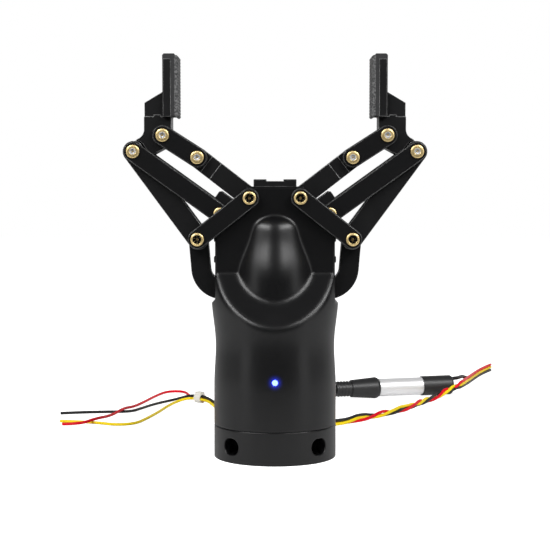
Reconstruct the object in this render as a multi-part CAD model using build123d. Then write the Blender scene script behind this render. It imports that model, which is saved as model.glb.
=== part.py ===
from build123d import *
import os
from math import acos, atan2, cos, degrees, hypot, pi, radians, sin, tan

# Electric two-finger gripper, all sizes in mm.
# X runs to the right, Y away from the viewer, Z up; the origin is the centre of the robot flange's face.
# Everything is drawn for the right finger (+X) and mirrored for the left one.

os.makedirs("parts", exist_ok=True)

# Mounting flange, to the 50 mm robot flange pattern
body_r = 31.5
flange_h = 17.0
seam_chamfer = 0.35
bolt_circle_r = 25.0
bolt_hole_r = 3.3
bolt_head_r = 5.3
bolt_floor = 4.3
bolt_angles = [45, 135, 225, 315]
window_w = 10.4
window_h = 8.4
pilot_r = 15.75
pilot_depth = 6.0
flange_bore_r = 12.0
dowel_r = 3.0
dowel_depth = 6.0
joint_screw_circle_r = 26.5
joint_screw_angles = [20, 160, 200, 340]
joint_screw_r = 1.5
joint_screw_head_r = 2.75
joint_screw_head_h = 3.0
joint_screw_grip = 9.0
joint_boss_r = 4.0

# Housing: round body, sloped shoulders front and back, flat head, round nose
body_wall = 3.0
cavity_chamfer = 4.5
body_straight_h = 20.0
waist_r = 30.7
waist_z = 61.0
flare_r = 32.6
flare_z = 78.0
flare_run = 20.0
lip_z = 68.9
slope_angle = 52.5
head_half_depth = 11.0
head_half_w = 30.5
head_flat_z = 81.7
head_top_z = 139.5
head_top_half_w = 14.5
shoulder_start = 3.0
shoulder_drop = 3.3
lip_fillet = 2.6
head_corner_r = 1.0
head_edge_chamfer = 0.6
nose_r = 22.0
nose_straight_z = 90.0
nose_curve = [(19.4, 104.3), (16.7, 114.0), (14.5, 121.2), (11.2, 124.4)]
nose_top_z = 126.6
nose_wall = 2.4
nose_fillet = 2.8
deck_z = 74.0
deck_h = 5.0
chamber_top_z = 119.6
rod_slot_gap = 0.7
rod_slot_side_z = 113.9
outlet_z = 23.0
outlet_w = 27.0
outlet_h = 9.0
outlet_rim = 1.8
outlet_rim_border = 1.2
boot_length = 12.0
light_z = 42.1
light_r = 1.5

# Drive inside the body
motor_r = 18.0
motor_base_z = 34.0
gearhead_r = 17.0
gearhead_h = 14.0
board_r = 27.0
board_h = 1.6
board_z = flange_h + 12.0
board_bore_r = 6.0
board_chip_h = 2.4
board_chips = [
    (14.0, 8.0, 9.0, 9.0), (-13.0, 10.0, 7.0, 5.0),
    (-12.0, -9.0, 11.0, 8.0), (12.0, -12.0, 6.0, 6.0),
]
bearing_r = 8.0
bearing_h = 5.0
screw_r = 4.0
journal_r = 3.0
top_bearing_r = 5.5
top_bearing_z = 126.0
nut_r = 6.5
nut_flange_r = 9.5
nut_flange_h = 2.5
nut_h = 11.0
crosshead_barrel_r = 10.5
crosshead_half_w = 17.5
crosshead_half_depth = 8.2
slide_gap = 0.4
crosshead_h = 10.0
crosshead_pin_r = 2.2

# Linkage pivots on the right side, seen from the front, jaws open
link_root_x = 12.9
link_root_z = 133.75
link_length = 54.3
link_open_angle = 35.7
finger_pivot_dx = 15.0
finger_pivot_dz = -8.2
crank_length = 33.7
crank_open_angle = -38.45
knuckle_along = 33.5
knuckle_rise = 1.1
crosshead_pin_x = 13.5
crosshead_pin_z = 86.6

# Linkage sections
rod_half = 4.0
fork_inner_half = 4.3
inner_half = 7.9
plate_inner_half = 8.2
plate_t = 2.8
crank_inner_half = 12.3
crank_t = 3.0
link_w = 10.2
lower_link_w = 9.9
crank_w = 9.7
outer_link_w = 10.8
rod_w = 10.0
rod_bend_r = 11.4
rod_bend_x = 26.6
pin_r = 2.0
pin_head_r = 3.4
pin_head_h = 1.0
hex_flat_half = 1.3
hex_depth = 0.8
crank_hex_flat_half = 1.55
crank_hex_depth = 1.9
step_along = 22.0
step_half = 7.3
tongue_along = 27.8
tongue_half = 6.6
open_pivot_slack = 1.0
rod_eye_slack = 0.9
edge_break = 0.4
anchor_gap = 0.5
anchor_reach = 14.5
anchor_back = -2.0
anchor_foot_rise = -18.5
anchor_chamfer = 0.8
pocket_gap = 0.9
running_gap = 0.05
side_gap = 0.3

# Finger, fingertip and pad, measured from the finger's upper pivot
finger_inner_dx = -4.3
finger_outer_dx = 9.5
finger_half = 8.0
finger_top_z = 174.9
finger_upper_offset = 4.6
finger_lower_offset = 6.1
finger_fillet = 5.0
finger_eye_r = 5.1
finger_eye_clearance = 0.8
tip_half = 11.0
tip_plate_t = 4.2
tip_top_z = 203.8
tip_shoulder_z = 181.9
tip_shoulder_slope = 31.0
tip_edge_chamfer = 0.5
tip_tongue_inset = 2.5
tip_tongue_half = 3.0
tip_tongue_depth = 6.0
key_h = 0.9
key_w = 3.4
key_inset = 5.4
pad_t = 2.5
pad_grip_t = 1.1
pad_lip_h = 2.7
pad_overlap = 0.7
pad_top_chamfer = 0.8
tip_screw_r = 1.5
tip_screw_head_r = 2.75
tip_screw_head_h = 1.6
tip_screw_length = 10.0
tip_screw_drop = 3.4

# Top cover and the small screws
cover_half_w = 10.9
cover_h = 3.7
cover_dip = 0.9
cover_dip_half_w = 4.4
cover_waist_half_w = 6.0
cover_screw_r = 1.25
cover_screw_head_r = 2.1
cover_screw_head_h = 1.4
cover_screw_grip = 5.0
cover_screw_y = 8.5
side_screw_heights = [113.0, 102.3]
side_screw_y = 6.1
side_screw_r = 1.2
side_screw_head_r = 1.7
side_screw_head_h = 0.7
side_screw_grip = 4.0

# Leads: plain round centreline points, from the rear outlet outwards
main_cable_r = 3.0
wire_r = 0.85
right_lead_r = 1.85
tail_lead_r = 1.2
exit_y = 30.0
wire_pitch = 2.4
yellow_exit_x = -11.2
right_exit_x = 9.0
connector_start = (39.5, 193.6)
connector_heading = 15.83
connector_z = 7.0
plug_length = 29.5
plug_relief_length = 10.5
plug_relief_r = 4.8
plug_neck_r = 5.65
plug_end_r = 6.95
plug_end_fillet = 2.5
sleeve_length = 30.3
sleeve_r = 5.75
socket_length = 21.5
socket_r = 6.4
socket_fillet = 1.8
cable_grip = 6.0
tail_exit_z = 10.9
tie_at = (-48.4, 181.0)
tie_heading = 137.8
tie_reach = 8.0
tie_r = 3.2
tie_bore_r = 2.25
tie_w = 5.0
main_cable_points = [
    (0, 55, 23), (-2, 80, 9.7), (-8, 112, 3.05), (-15, 140, 3.05), (-8, 168, 3.4), (18.3, 187.6, 7.0)
]
wire_lead_in = [
    (0, 46, 23), (-1.7, 61, 13.5), (-5.2, 78, 0.95),
    (-10.2, 102, 0.95), (-17.2, 128, 0.95), (-25.2, 152, 0.95),
]
red_points = [
    (-57, 208, 0.95), (-61, 226, 0.95), (-72.5, 226.5, 0.95), (-78.5, 207, 0.95), (-83.8, 180, 0.95),
    (-88.6, 156, 1.3), (-93, 138.5, 3.2), (-98.5, 119, 1.6), (-105.3, 99, 3.2), (-113, 89, 1.6),
    (-124, 92.5, 0.95),
]
black_points = [
    (-64, 190.6, 0.95), (-76.2, 171.1, 0.95), (-83.5, 152, 0.95), (-88.3, 139, 0.95), (-104.5, 137.9, 0.95),
    (-118, 136.2, 0.95), (-131, 132.5, 0.95)
]
yellow_points = [
    (-62.5, 183, 0.95), (-67.5, 163, 0.95), (-71.5, 137, 0.95), (-77, 111, 0.95), (-81.5, 94.5, 0.95),
    (-92, 89.5, 0.95), (-104, 97, 0.95), (-115.5, 101, 0.95), (-127, 103.3, 0.95)
]
right_lead_points = [
    (9, 46, 23), (12, 63, 11), (19, 80, 1.9), (35.3, 91.6, 1.9), (46.1, 100.4, 1.9), (57.7, 115.3, 1.9),
    (68.8, 128.0, 1.9), (80.6, 145.8, 1.9), (93.7, 171.4, 1.9), (103, 190, 2.0), (110.4, 199.6, 3.6),
    (118.1, 205.0, 6.6), (124.9, 214.3, 8.3), (129.5, 232, 7.2), (134.6, 254.6, 4.9), (142.2, 285, 2.4),
    (151.5, 314, 1.9), (162.5, 345, 1.9)
]
tail_lead_points = [
    (127.5, 234, 10.3), (131.0, 256, 6.8), (139.0, 285.7, 1.8), (148.3, 315, 1.25), (159.2, 346, 1.25),
]

# Values that follow from the sizes above
BASE = (Align.CENTER, Align.CENTER, Align.MIN)
link_root = (link_root_x, link_root_z)
link_dir = (cos(radians(link_open_angle)), sin(radians(link_open_angle)))
crank_dir = (cos(radians(crank_open_angle)), sin(radians(crank_open_angle)))


def along(origin, direction, distance, rise=0.0):
    """Point at a distance along a direction, and a rise to the left of it, in the XZ plane."""
    return (
        origin[0] + distance * direction[0] - rise * direction[1],
        origin[1] + distance * direction[1] + rise * direction[0],
    )


finger_pivot = along(link_root, link_dir, link_length)
finger_low_pivot = (finger_pivot[0] + finger_pivot_dx, finger_pivot[1] + finger_pivot_dz)
lower_root = (link_root_x + finger_pivot_dx, link_root_z + finger_pivot_dz)
crank_end = along(link_root, crank_dir, crank_length)
knuckle = along(link_root, link_dir, knuckle_along, knuckle_rise)
crosshead_pin = (crosshead_pin_x, crosshead_pin_z)
plate_outer_half = plate_inner_half + plate_t
crank_outer_half = crank_inner_half + crank_t
finger_inner_x = finger_pivot[0] + finger_inner_dx
finger_outer_x = finger_pivot[0] + finger_outer_dx
tip_outer_x = finger_inner_x + tip_plate_t
pad_back_x = finger_inner_x
slope_top_z = lip_z + (body_r - head_half_depth) * tan(radians(slope_angle))


def xz_bar(p, q, width):
    """Outline in the XZ plane of a bar with round ends on two pivots."""
    length = hypot(q[0] - p[0], q[1] - p[1])
    angle = degrees(atan2(q[1] - p[1], q[0] - p[0]))
    mid = Pos((p[0] + q[0]) / 2, (p[1] + q[1]) / 2)
    return Plane.XZ * (mid * Rot(0, 0, angle) * SlotCenterToCenter(length, width))


def xz_disc(p, radius):
    return Plane.XZ * (Pos(*p) * Circle(radius))


def xz_polygon(points):
    return Plane.XZ * make_face(Polyline(*points, close=True))


def layer(face, y_low, y_high):
    """Extrude an XZ outline between two depths."""
    return extrude(Pos(0, y_low, 0) * face, y_high - y_low, dir=(0, 1, 0))


def both_layers(face, inner_half, outer_half):
    """Two equal plates, one in front of and one behind the middle plane."""
    return [layer(face, -outer_half, -inner_half), layer(face, inner_half, outer_half)]


def y_bore(p, radius, half):
    return layer(xz_disc(p, radius), -half, half)


def mirrored(parts):
    return [mirror(part, Plane.YZ) for part in parts]


def pivot_screw(p, half, socket_flat_half, socket_depth):
    """Shouldered pivot pin with a socket head at the front and a like nut head at the back."""
    pin = y_bore(p, pin_r, half + pin_head_h)
    socket = Plane.XZ * (Pos(*p) * RegularPolygon(socket_flat_half, 6, major_radius=False))
    for side in (-1, 1):
        low, high = sorted((side * half, side * (half + pin_head_h)))
        head = layer(xz_disc(p, pin_head_r), low, high)
        rim = head.faces().sort_by(Axis.Y)[0 if side < 0 else -1].edges()
        pin += chamfer(rim, pin_head_h * 0.35)
    for side in (-1, 1):
        low, high = sorted((side * (half + pin_head_h), side * (half + pin_head_h - socket_depth)))
        pin -= layer(socket, low, high)
    return pin


def make_flange():
    """Robot-side ring with bolt pockets, seen through four windows in its wall."""
    ring = Cylinder(body_r, flange_h, align=BASE)
    ring = chamfer(ring.edges().filter_by(GeomType.CIRCLE), seam_chamfer)
    ring -= Cylinder(pilot_r, pilot_depth, align=BASE)
    ring -= Cylinder(flange_bore_r, flange_h, align=BASE)
    for angle in bolt_angles:
        turn = Rot(0, 0, angle)
        seat = turn * Pos(bolt_circle_r, 0, 0)
        ring -= seat * Cylinder(bolt_hole_r, flange_h, align=BASE)
        ring -= seat * Pos(0, 0, bolt_floor) * Cylinder(bolt_head_r, flange_h, align=BASE)
        window = Plane.YZ * SlotOverall(window_w, window_h)
        ring -= turn * Pos(bolt_circle_r, 0, bolt_floor + window_h / 2) * extrude(window, body_r)
    for angle in joint_screw_angles:
        seat = Rot(0, 0, angle) * Pos(joint_screw_circle_r, 0, 0)
        ring -= seat * Cylinder(joint_screw_r + running_gap, flange_h, align=BASE)
        ring -= seat * Cylinder(joint_screw_head_r + running_gap, joint_screw_head_h, align=BASE)
    ring -= Pos(0, bolt_circle_r, 0) * Cylinder(dowel_r, dowel_depth, align=BASE)
    return ring


def make_joint_screws():
    """Cap screws that pull the housing onto the flange from below."""
    screws = []
    for angle in joint_screw_angles:
        seat = Rot(0, 0, angle) * Pos(joint_screw_circle_r, 0, 0)
        length = flange_h + joint_screw_grip
        screw = Cylinder(joint_screw_r, length, align=BASE)
        screw += Cylinder(joint_screw_head_r, joint_screw_head_h, align=BASE)
        screw -= extrude(RegularPolygon(hex_flat_half, 6, major_radius=False), hex_depth * 2)
        screws.append(seat * screw)
    return screws


def body_profile():
    """Half outline of the round body: straight, waisted, flared under the shoulders."""
    straight_z = flange_h + body_straight_h
    top_z = flare_z + flare_run
    outline = [
        Line((0, flange_h), (body_r - seam_chamfer, flange_h)),
        Line((body_r - seam_chamfer, flange_h), (body_r, flange_h + seam_chamfer)),
        Line((body_r, flange_h + seam_chamfer), (body_r, straight_z)),
        Spline(
            (body_r, straight_z),
            (waist_r, waist_z),
            (flare_r - 0.1, flare_z),
            (flare_r, top_z),
            tangents=[(0, 1), (0, 1)],
        ),
        Line((flare_r, top_z), (flare_r, head_top_z)),
        Line((flare_r, head_top_z), (0, head_top_z)),
        Line((0, head_top_z), (0, flange_h)),
    ]
    return Plane.XZ * make_face(outline)


def nose_profile(inset, base_z):
    """Half outline of the bullet-shaped nose over the lead screw, or of its hollow."""
    top_z = nose_top_z - inset
    outline = [
        Line((0, base_z), (nose_r - inset, base_z)),
        Line((nose_r - inset, base_z), (nose_r - inset, nose_straight_z)),
        Spline(
            (nose_r - inset, nose_straight_z),
            *[(radius - inset, height - inset / 2) for radius, height in nose_curve],
            (0, top_z),
            tangents=[(0, 1), (-1, 0)],
        ),
        Line((0, top_z), (0, base_z)),
    ]
    return Plane.XZ * make_face(outline)


def head_outline():
    """Front outline of the head: flat top, cut shoulders under the cranks, flat sides."""
    low = along(link_root, crank_dir, shoulder_start, -shoulder_drop)
    side_distance = (head_half_w - link_root_x - shoulder_drop * crank_dir[1]) / crank_dir[0]
    side = along(link_root, crank_dir, side_distance, -shoulder_drop)
    wide = flare_r + 2
    half = [
        (head_top_half_w, head_top_z),
        low,
        side,
        (head_half_w, head_flat_z),
        (wide, head_flat_z - (wide - head_half_w)),
        (wide, 0),
    ]
    outline = xz_polygon(half + [(-x, z) for x, z in reversed(half)])
    for sign in (-1, 1):
        outline += xz_disc((sign * link_root_x, link_root_z), link_w / 2 - 0.1)
    return outline


def slope_outline():
    """Side outline: full depth below, sloped shoulders, thin head above."""
    far = body_r + 5
    far_z = lip_z - 5 * tan(radians(slope_angle))
    half = [(head_half_depth, head_top_z), (head_half_depth, slope_top_z), (far, far_z), (far, 0)]
    return Plane.YZ * make_face(Polyline(*(half + [(-y, z) for y, z in reversed(half)]), close=True))


def anchor_outline():
    """Outline of the block that carries the lower link's root pivot."""
    top_rise = -link_w / 2 - anchor_gap
    return [
        along(link_root, link_dir, anchor_reach, top_rise),
        along(link_root, link_dir, anchor_reach, anchor_foot_rise),
        along(link_root, link_dir, anchor_back, anchor_foot_rise),
        along(link_root, link_dir, anchor_back, top_rise),
    ]


def head_pocket_outline():
    """Hollow in the head where the upper link swings and the anchor block sits."""
    foot, wall = anchor_outline()[2:]
    left = link_root_x - link_w / 2 - pocket_gap
    far = along(foot, link_dir, head_top_half_w * 3)
    above = head_top_z + link_w
    return [(left, above), (left, wall[1]), wall, foot, far, (far[0], above)]


def rod_slot_outline():
    """Side slot in which the push rod rises and tilts."""
    inner = crosshead_pin_x - rod_w / 2
    low = crosshead_pin_z - rod_w / 2 - rod_slot_gap
    return [
        (inner, low),
        (body_r * 1.3, low),
        (body_r * 1.3, rod_slot_side_z),
        (head_half_w, rod_slot_side_z),
        (crosshead_pin_x, chamber_top_z),
        (inner, chamber_top_z),
    ]


def make_housing():
    """One-piece cast housing: round body, sloped shoulders, flat head and nose."""
    reach = body_r + 10
    body = revolve(body_profile(), Axis.Z)
    body = body & extrude(slope_outline(), reach, both=True)
    lips = [
        edge for edge in body.edges().filter_by(GeomType.BSPLINE)
        if abs(edge.center().Z - lip_z) < 1
    ]
    body = fillet(lips, lip_fillet)
    body = body & layer(head_outline(), -reach, reach)
    corners = [
        edge for edge in body.edges().filter_by(Axis.Z)
        if abs(abs(edge.center().X) - head_half_w) < 0.05
        and abs(abs(edge.center().Y) - head_half_depth) < 0.05
    ]
    body = fillet(corners, head_corner_r)
    body += revolve(nose_profile(0, lip_z), Axis.Z)
    nose_foot = [
        edge for edge in body.edges()
        if edge.geom_type in (GeomType.BSPLINE, GeomType.ELLIPSE)
        and edge.center().Z > lip_z + 5
        and hypot(edge.center().X, edge.center().Y) < nose_r + 0.5
    ]
    body = fillet(nose_foot, nose_fillet)
    top_rim = [
        edge for edge in body.edges().filter_by(Axis.X)
        if abs(edge.center().Z - head_top_z) < 0.05 and edge.length > head_top_half_w
    ]
    body = chamfer(top_rim, head_edge_chamfer)

    cavity_h = deck_z - flange_h
    cavity = Pos(0, 0, flange_h) * Cylinder(body_r - body_wall, cavity_h, align=BASE)
    body -= chamfer(cavity.edges().group_by(Axis.Z)[-1], cavity_chamfer)
    for angle in joint_screw_angles:
        seat = Rot(0, 0, angle) * Pos(joint_screw_circle_r, 0, flange_h)
        boss = seat * Cylinder(joint_boss_r, board_z - flange_h, align=BASE)
        body += boss & Cylinder(body_r - body_wall / 2, head_top_z, align=BASE)
        body -= seat * Cylinder(joint_screw_r + running_gap, joint_screw_grip + 1, align=BASE)
    body -= Pos(0, 0, deck_z) * Cylinder(bearing_r, deck_h, align=BASE)

    chamber_base = deck_z + deck_h
    chamber_h = chamber_top_z - chamber_base
    chamber = revolve(nose_profile(nose_wall, chamber_base), Axis.Z)
    chamber = chamber & Pos(0, 0, chamber_base) * Cylinder(body_r, chamber_h, align=BASE)
    chamber += Pos(0, 0, chamber_base) * Box(
        2 * (crosshead_half_w + slide_gap), 2 * (crosshead_half_depth + slide_gap), chamber_h, align=BASE
    )
    body -= chamber
    screw_bore = Cylinder(screw_r + 0.6, top_bearing_z - chamber_top_z + 1, align=BASE)
    body -= Pos(0, 0, chamber_top_z - 1) * screw_bore
    body -= Pos(0, 0, top_bearing_z) * Cylinder(top_bearing_r, head_top_z, align=BASE)

    rod_slot = layer(xz_polygon(rod_slot_outline()), -rod_half - side_gap, rod_half + side_gap)
    pocket_half = inner_half + side_gap
    pocket = layer(xz_polygon(head_pocket_outline()), -pocket_half, pocket_half)
    pin_hole = y_bore(link_root, pin_r + running_gap, reach)
    for cut in (rod_slot, pocket, pin_hole):
        body -= cut
        body -= mirror(cut, Plane.YZ)
    for height in side_screw_heights:
        for sign_x in (-1, 1):
            for sign_y in (-1, 1):
                seat = Pos(sign_x * head_half_w, sign_y * side_screw_y, height) * Rot(0, 90, 0)
                body -= seat * Cylinder(side_screw_r + running_gap, 2 * side_screw_grip)
    for sign_y in (-1, 1):
        seat = Pos(0, sign_y * cover_screw_y, head_top_z)
        body -= seat * Cylinder(cover_screw_r + running_gap, 2 * cover_screw_grip)
    outlet = extrude(Plane.XZ * SlotOverall(outlet_w, outlet_h), -reach)
    body -= Pos(0, body_r / 2, outlet_z) * outlet
    body -= Pos(0, -body_r / 2, light_z) * extrude(Plane.XZ * Circle(light_r), reach)
    return body


def make_anchors():
    """Blocks mortised into the head; each carries one lower link's root pivot."""
    block = layer(xz_polygon(anchor_outline()), -inner_half, inner_half)
    outer = block.edges().filter_by(Axis.Y).sort_by(Axis.X)[-2:]
    block = chamfer(outer, anchor_chamfer)
    block -= y_bore(lower_root, pin_r + running_gap, body_r)
    return [block] + mirrored([block])


def make_grommet():
    """Rubber outlet on the back of the body, with one bore for each lead."""
    skin_r = body_r + outlet_rim
    core = extrude(Plane.XZ * SlotOverall(outlet_w - 2 * running_gap, outlet_h - 2 * running_gap), -skin_r)
    core = core & Cylinder(skin_r, body_r * 4) - Cylinder(body_r - body_wall - 1, body_r * 4)
    border = 2 * outlet_rim_border
    rim = extrude(Plane.XZ * SlotOverall(outlet_w + border, outlet_h + border), -skin_r)
    rim = rim & Cylinder(skin_r, body_r * 4) - Cylinder(body_r + 0.05, body_r * 4)
    boot = Pos(0, skin_r - 0.5, 0) * Rot(-90, 0, 0) * Cone(
        outlet_h / 2 + 0.6, main_cable_r + 1.0, boot_length, align=BASE
    )
    grommet = core + rim + boot
    exits = [(0, main_cable_r), (right_exit_x, right_lead_r)]
    exits += [(yellow_exit_x + step * wire_pitch, wire_r) for step in range(3)]
    for x, radius in exits:
        grommet -= Pos(x, body_r, 0) * Rot(90, 0, 0) * Cylinder(radius + running_gap, body_r * 2)
    return Pos(0, 0, outlet_z) * grommet


def make_status_light():
    """Lens flush in the front of the wall."""
    depth = body_wall + 2
    return Pos(0, -body_r, light_z) * extrude(Plane.XZ * Circle(light_r - running_gap), -depth)


def make_drive():
    """Motor, gearhead, drive board and the two screw bearings."""
    motor_h = deck_z - gearhead_h - motor_base_z
    motor = Pos(0, 0, motor_base_z) * Cylinder(motor_r, motor_h, align=BASE)
    motor = chamfer(motor.edges().filter_by(GeomType.CIRCLE), 1.0)
    gearhead = Pos(0, 0, deck_z - gearhead_h) * Cylinder(gearhead_r, gearhead_h, align=BASE)
    gearhead -= Pos(0, 0, deck_z - gearhead_h + 2) * Cylinder(screw_r + running_gap, gearhead_h, align=BASE)
    board = Pos(0, 0, board_z) * Cylinder(board_r, board_h, align=BASE)
    board -= Pos(0, 0, board_z) * Cylinder(board_bore_r, board_h, align=BASE)
    for x, y, width, depth in board_chips:
        board += Pos(x, y, board_z + board_h) * Box(width, depth, board_chip_h, align=BASE)
    lower = Pos(0, 0, deck_z) * Cylinder(bearing_r - running_gap, bearing_h, align=BASE)
    lower -= Pos(0, 0, deck_z) * Cylinder(screw_r + running_gap, bearing_h, align=BASE)
    upper = Pos(0, 0, top_bearing_z) * Cylinder(top_bearing_r - running_gap, bearing_h, align=BASE)
    upper -= Pos(0, 0, top_bearing_z) * Cylinder(journal_r + running_gap, bearing_h, align=BASE)
    return {
        "motor": motor,
        "gearhead": gearhead,
        "drive_board": board,
        "lower_bearing": lower,
        "upper_bearing": upper,
    }


def make_lead_screw():
    base_z = deck_z - gearhead_h + 3
    step_z = chamber_top_z + 1
    screw = Pos(0, 0, base_z) * Cylinder(screw_r, step_z - base_z, align=BASE)
    screw += Pos(0, 0, step_z) * Cylinder(journal_r, top_bearing_z + bearing_h - step_z, align=BASE)
    return screw


def make_crosshead():
    """Drive nut, the crosshead it carries, and the two push-rod pins."""
    base_z = crosshead_pin_z - crosshead_h / 2
    nut = Pos(0, 0, base_z) * Cylinder(nut_r - running_gap, nut_h, align=BASE)
    nut += Pos(0, 0, base_z - nut_flange_h) * Cylinder(nut_flange_r, nut_flange_h, align=BASE)
    nut -= Pos(0, 0, base_z - nut_flange_h) * Cylinder(screw_r + 2 * running_gap, 3 * nut_h, align=BASE)
    block = Pos(0, 0, base_z) * Cylinder(crosshead_barrel_r, crosshead_h, align=BASE)
    block += Pos(0, 0, base_z) * Box(2 * crosshead_half_w, 2 * crosshead_half_depth, crosshead_h, align=BASE)
    block -= Pos(0, 0, base_z) * Cylinder(nut_r, crosshead_h, align=BASE)
    slot_x = crosshead_pin_x - rod_w / 2 - 0.8
    slot = Pos(slot_x, 0, base_z) * Box(
        crosshead_half_w, 2 * (rod_half + side_gap), crosshead_h, align=(Align.MIN, Align.CENTER, Align.MIN)
    )
    pin_hole = y_bore(crosshead_pin, crosshead_pin_r + running_gap, body_r)
    for cut in (slot, pin_hole):
        block -= cut
        block -= mirror(cut, Plane.YZ)
    pin = y_bore(crosshead_pin, crosshead_pin_r, crosshead_half_depth)
    return {"drive_nut": nut, "crosshead": block, "crosshead_pins": [pin] + mirrored([pin])}


def make_top_cover():
    """Cap over the top bearing: raised ends, a dip between them, side notches for the links."""
    cover = Pos(0, 0, head_top_z) * Box(2 * cover_half_w, 2 * head_half_depth, cover_h, align=BASE)
    cover = chamfer(cover.edges().group_by(Axis.Z)[-1], head_edge_chamfer / 2)
    cover -= Pos(0, 0, head_top_z + cover_h - cover_dip) * Box(
        2 * cover_dip_half_w, body_r * 2, cover_dip + 1, align=BASE
    )
    for sign in (-1, 1):
        notch_x = sign * (cover_waist_half_w + cover_half_w)
        cover -= Pos(notch_x, 0, head_top_z) * Box(
            2 * cover_half_w, 2 * (inner_half + side_gap), cover_h + 1, align=BASE
        )
    plug_z = top_bearing_z + bearing_h
    cover += Pos(0, 0, plug_z) * Cylinder(top_bearing_r - running_gap, head_top_z - plug_z, align=BASE)
    screws = []
    head_z = head_top_z + cover_h - cover_dip - cover_screw_head_h
    for sign in (-1, 1):
        seat = Pos(0, sign * cover_screw_y, 0)
        shank = Pos(0, 0, head_top_z - cover_screw_grip) * Cylinder(
            cover_screw_r, cover_screw_grip + cover_h - cover_dip, align=BASE
        )
        head = Pos(0, 0, head_z) * Cylinder(cover_screw_head_r, cover_screw_head_h, align=BASE)
        hexagon = RegularPolygon(cover_screw_r * 0.8, 6, major_radius=False)
        socket = Pos(0, 0, head_z + cover_screw_head_h - hex_depth) * extrude(hexagon, hex_depth)
        screws.append(seat * (shank + head - socket))
        cover -= seat * Pos(0, 0, head_top_z) * Cylinder(cover_screw_r + running_gap, cover_h, align=BASE)
        cover -= seat * Pos(0, 0, head_z) * Cylinder(cover_screw_head_r + running_gap, cover_h, align=BASE)
    return cover, screws


def make_side_screws():
    """Small button screws, two above each other on both sides of each rod slot."""
    screws = []
    for height in side_screw_heights:
        for sign_x in (-1, 1):
            for sign_y in (-1, 1):
                screw = Pos(0, 0, -side_screw_grip) * Cylinder(side_screw_r, side_screw_grip, align=BASE)
                head = Cylinder(side_screw_head_r, side_screw_head_h, align=BASE)
                screw += chamfer(head.edges().group_by(Axis.Z)[-1], side_screw_head_h * 0.5)
                turn = Rot(0, sign_x * 90, 0)
                screws.append(Pos(sign_x * head_half_w, sign_y * side_screw_y, height) * turn * screw)
    return screws


def make_upper_link():
    """Inner half of the upper link: a block stepped down in two levels towards the knuckle."""
    block = layer(xz_bar(link_root, knuckle, link_w), -inner_half, inner_half)
    angle = degrees(atan2(knuckle[1] - link_root[1], knuckle[0] - link_root[0]))
    frame = Pos(link_root_x, 0, link_root_z) * Rot(0, -angle, 0)
    for start, half in ((step_along, step_half), (tongue_along, tongue_half)):
        for sign in (-1, 1):
            cut = Box(link_length, inner_half, 2 * link_w, align=(Align.MIN, Align.CENTER, Align.CENTER))
            block -= frame * Pos(start, sign * (half + inner_half / 2), 0) * cut
    for pivot in (link_root, knuckle):
        block -= y_bore(pivot, pin_r + running_gap, body_r)
    return block


def make_plates(p, q, width, inner, outer):
    """Front and back plates on two pivots, with their outer edges broken."""
    plates = []
    for plate in both_layers(xz_bar(p, q, width), inner, outer):
        face = plate.faces().sort_by(Axis.Y)[0 if plate.center().Y < 0 else -1]
        plate = chamfer(face.edges(), edge_break)
        for pivot in (p, q):
            plate -= y_bore(pivot, pin_r + running_gap, body_r)
        plates.append(plate)
    return plates


def make_knuckle_plates():
    """Outer half of the upper link: two plates with bosses that reach in to the knuckle tongue."""
    plates = make_plates(knuckle, finger_pivot, link_w, plate_inner_half, plate_outer_half)
    rings = both_layers(xz_disc(knuckle, pin_head_r + 0.8), tongue_half, plate_inner_half)
    bore = y_bore(knuckle, pin_r + running_gap, body_r)
    return [plate + ring - bore for plate, ring in zip(plates, rings)]


def make_crank_spacers():
    """Washers against the head and long spacers out to the crank plates."""
    spacers = []
    for pivot, inner in ((link_root, head_half_depth), (crank_end, inner_half)):
        ring = xz_disc(pivot, pin_head_r + 0.3)
        for spacer in both_layers(ring, inner + running_gap, crank_inner_half):
            spacers.append(spacer - y_bore(pivot, pin_r + running_gap, body_r))
    return spacers


def make_outer_link():
    """Forked link from the crank to the finger, webbed between its cheeks."""
    outline = xz_bar(crank_end, finger_low_pivot, outer_link_w)
    link = layer(outline, -inner_half, inner_half)
    link -= layer(outline, -fork_inner_half, fork_inner_half)
    reach = hypot(finger_low_pivot[0] - crank_end[0], finger_low_pivot[1] - crank_end[1])
    direction = ((finger_low_pivot[0] - crank_end[0]) / reach, (finger_low_pivot[1] - crank_end[1]) / reach)
    web_start = along(crank_end, direction, outer_link_w * 1.5)
    web_end = along(crank_end, direction, reach - outer_link_w * 1.6)
    link += layer(xz_bar(web_start, web_end, outer_link_w * 0.7), -fork_inner_half, fork_inner_half)
    link -= y_bore(crank_end, pin_r + running_gap, body_r)
    link -= y_bore(finger_low_pivot, pin_r + open_pivot_slack, body_r)
    return link


def make_push_rod():
    """Bent rod from the crosshead out through the side slot and up to the crank."""
    bend = (rod_bend_x, crosshead_pin_z + rod_bend_r)
    gap = hypot(crank_end[0] - bend[0], crank_end[1] - bend[1])
    tilt = atan2(crank_end[1] - bend[1], crank_end[0] - bend[0]) - acos(rod_bend_r / gap)
    arc_end = (bend[0] + rod_bend_r * cos(tilt), bend[1] + rod_bend_r * sin(tilt))
    path = [
        Line(crosshead_pin, (bend[0], crosshead_pin_z)),
        CenterArc(bend, rod_bend_r, -90, 90 + degrees(tilt)),
        Line(arc_end, crank_end),
    ]
    outline = Plane.XZ * trace(path, rod_w)
    for pivot in (crosshead_pin, crank_end):
        outline += xz_disc(pivot, rod_w / 2)
    rod = layer(outline, -rod_half, rod_half)
    rod -= y_bore(crank_end, pin_r + running_gap, body_r)
    rod -= y_bore(crosshead_pin, crosshead_pin_r + rod_eye_slack, body_r)
    return rod


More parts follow.
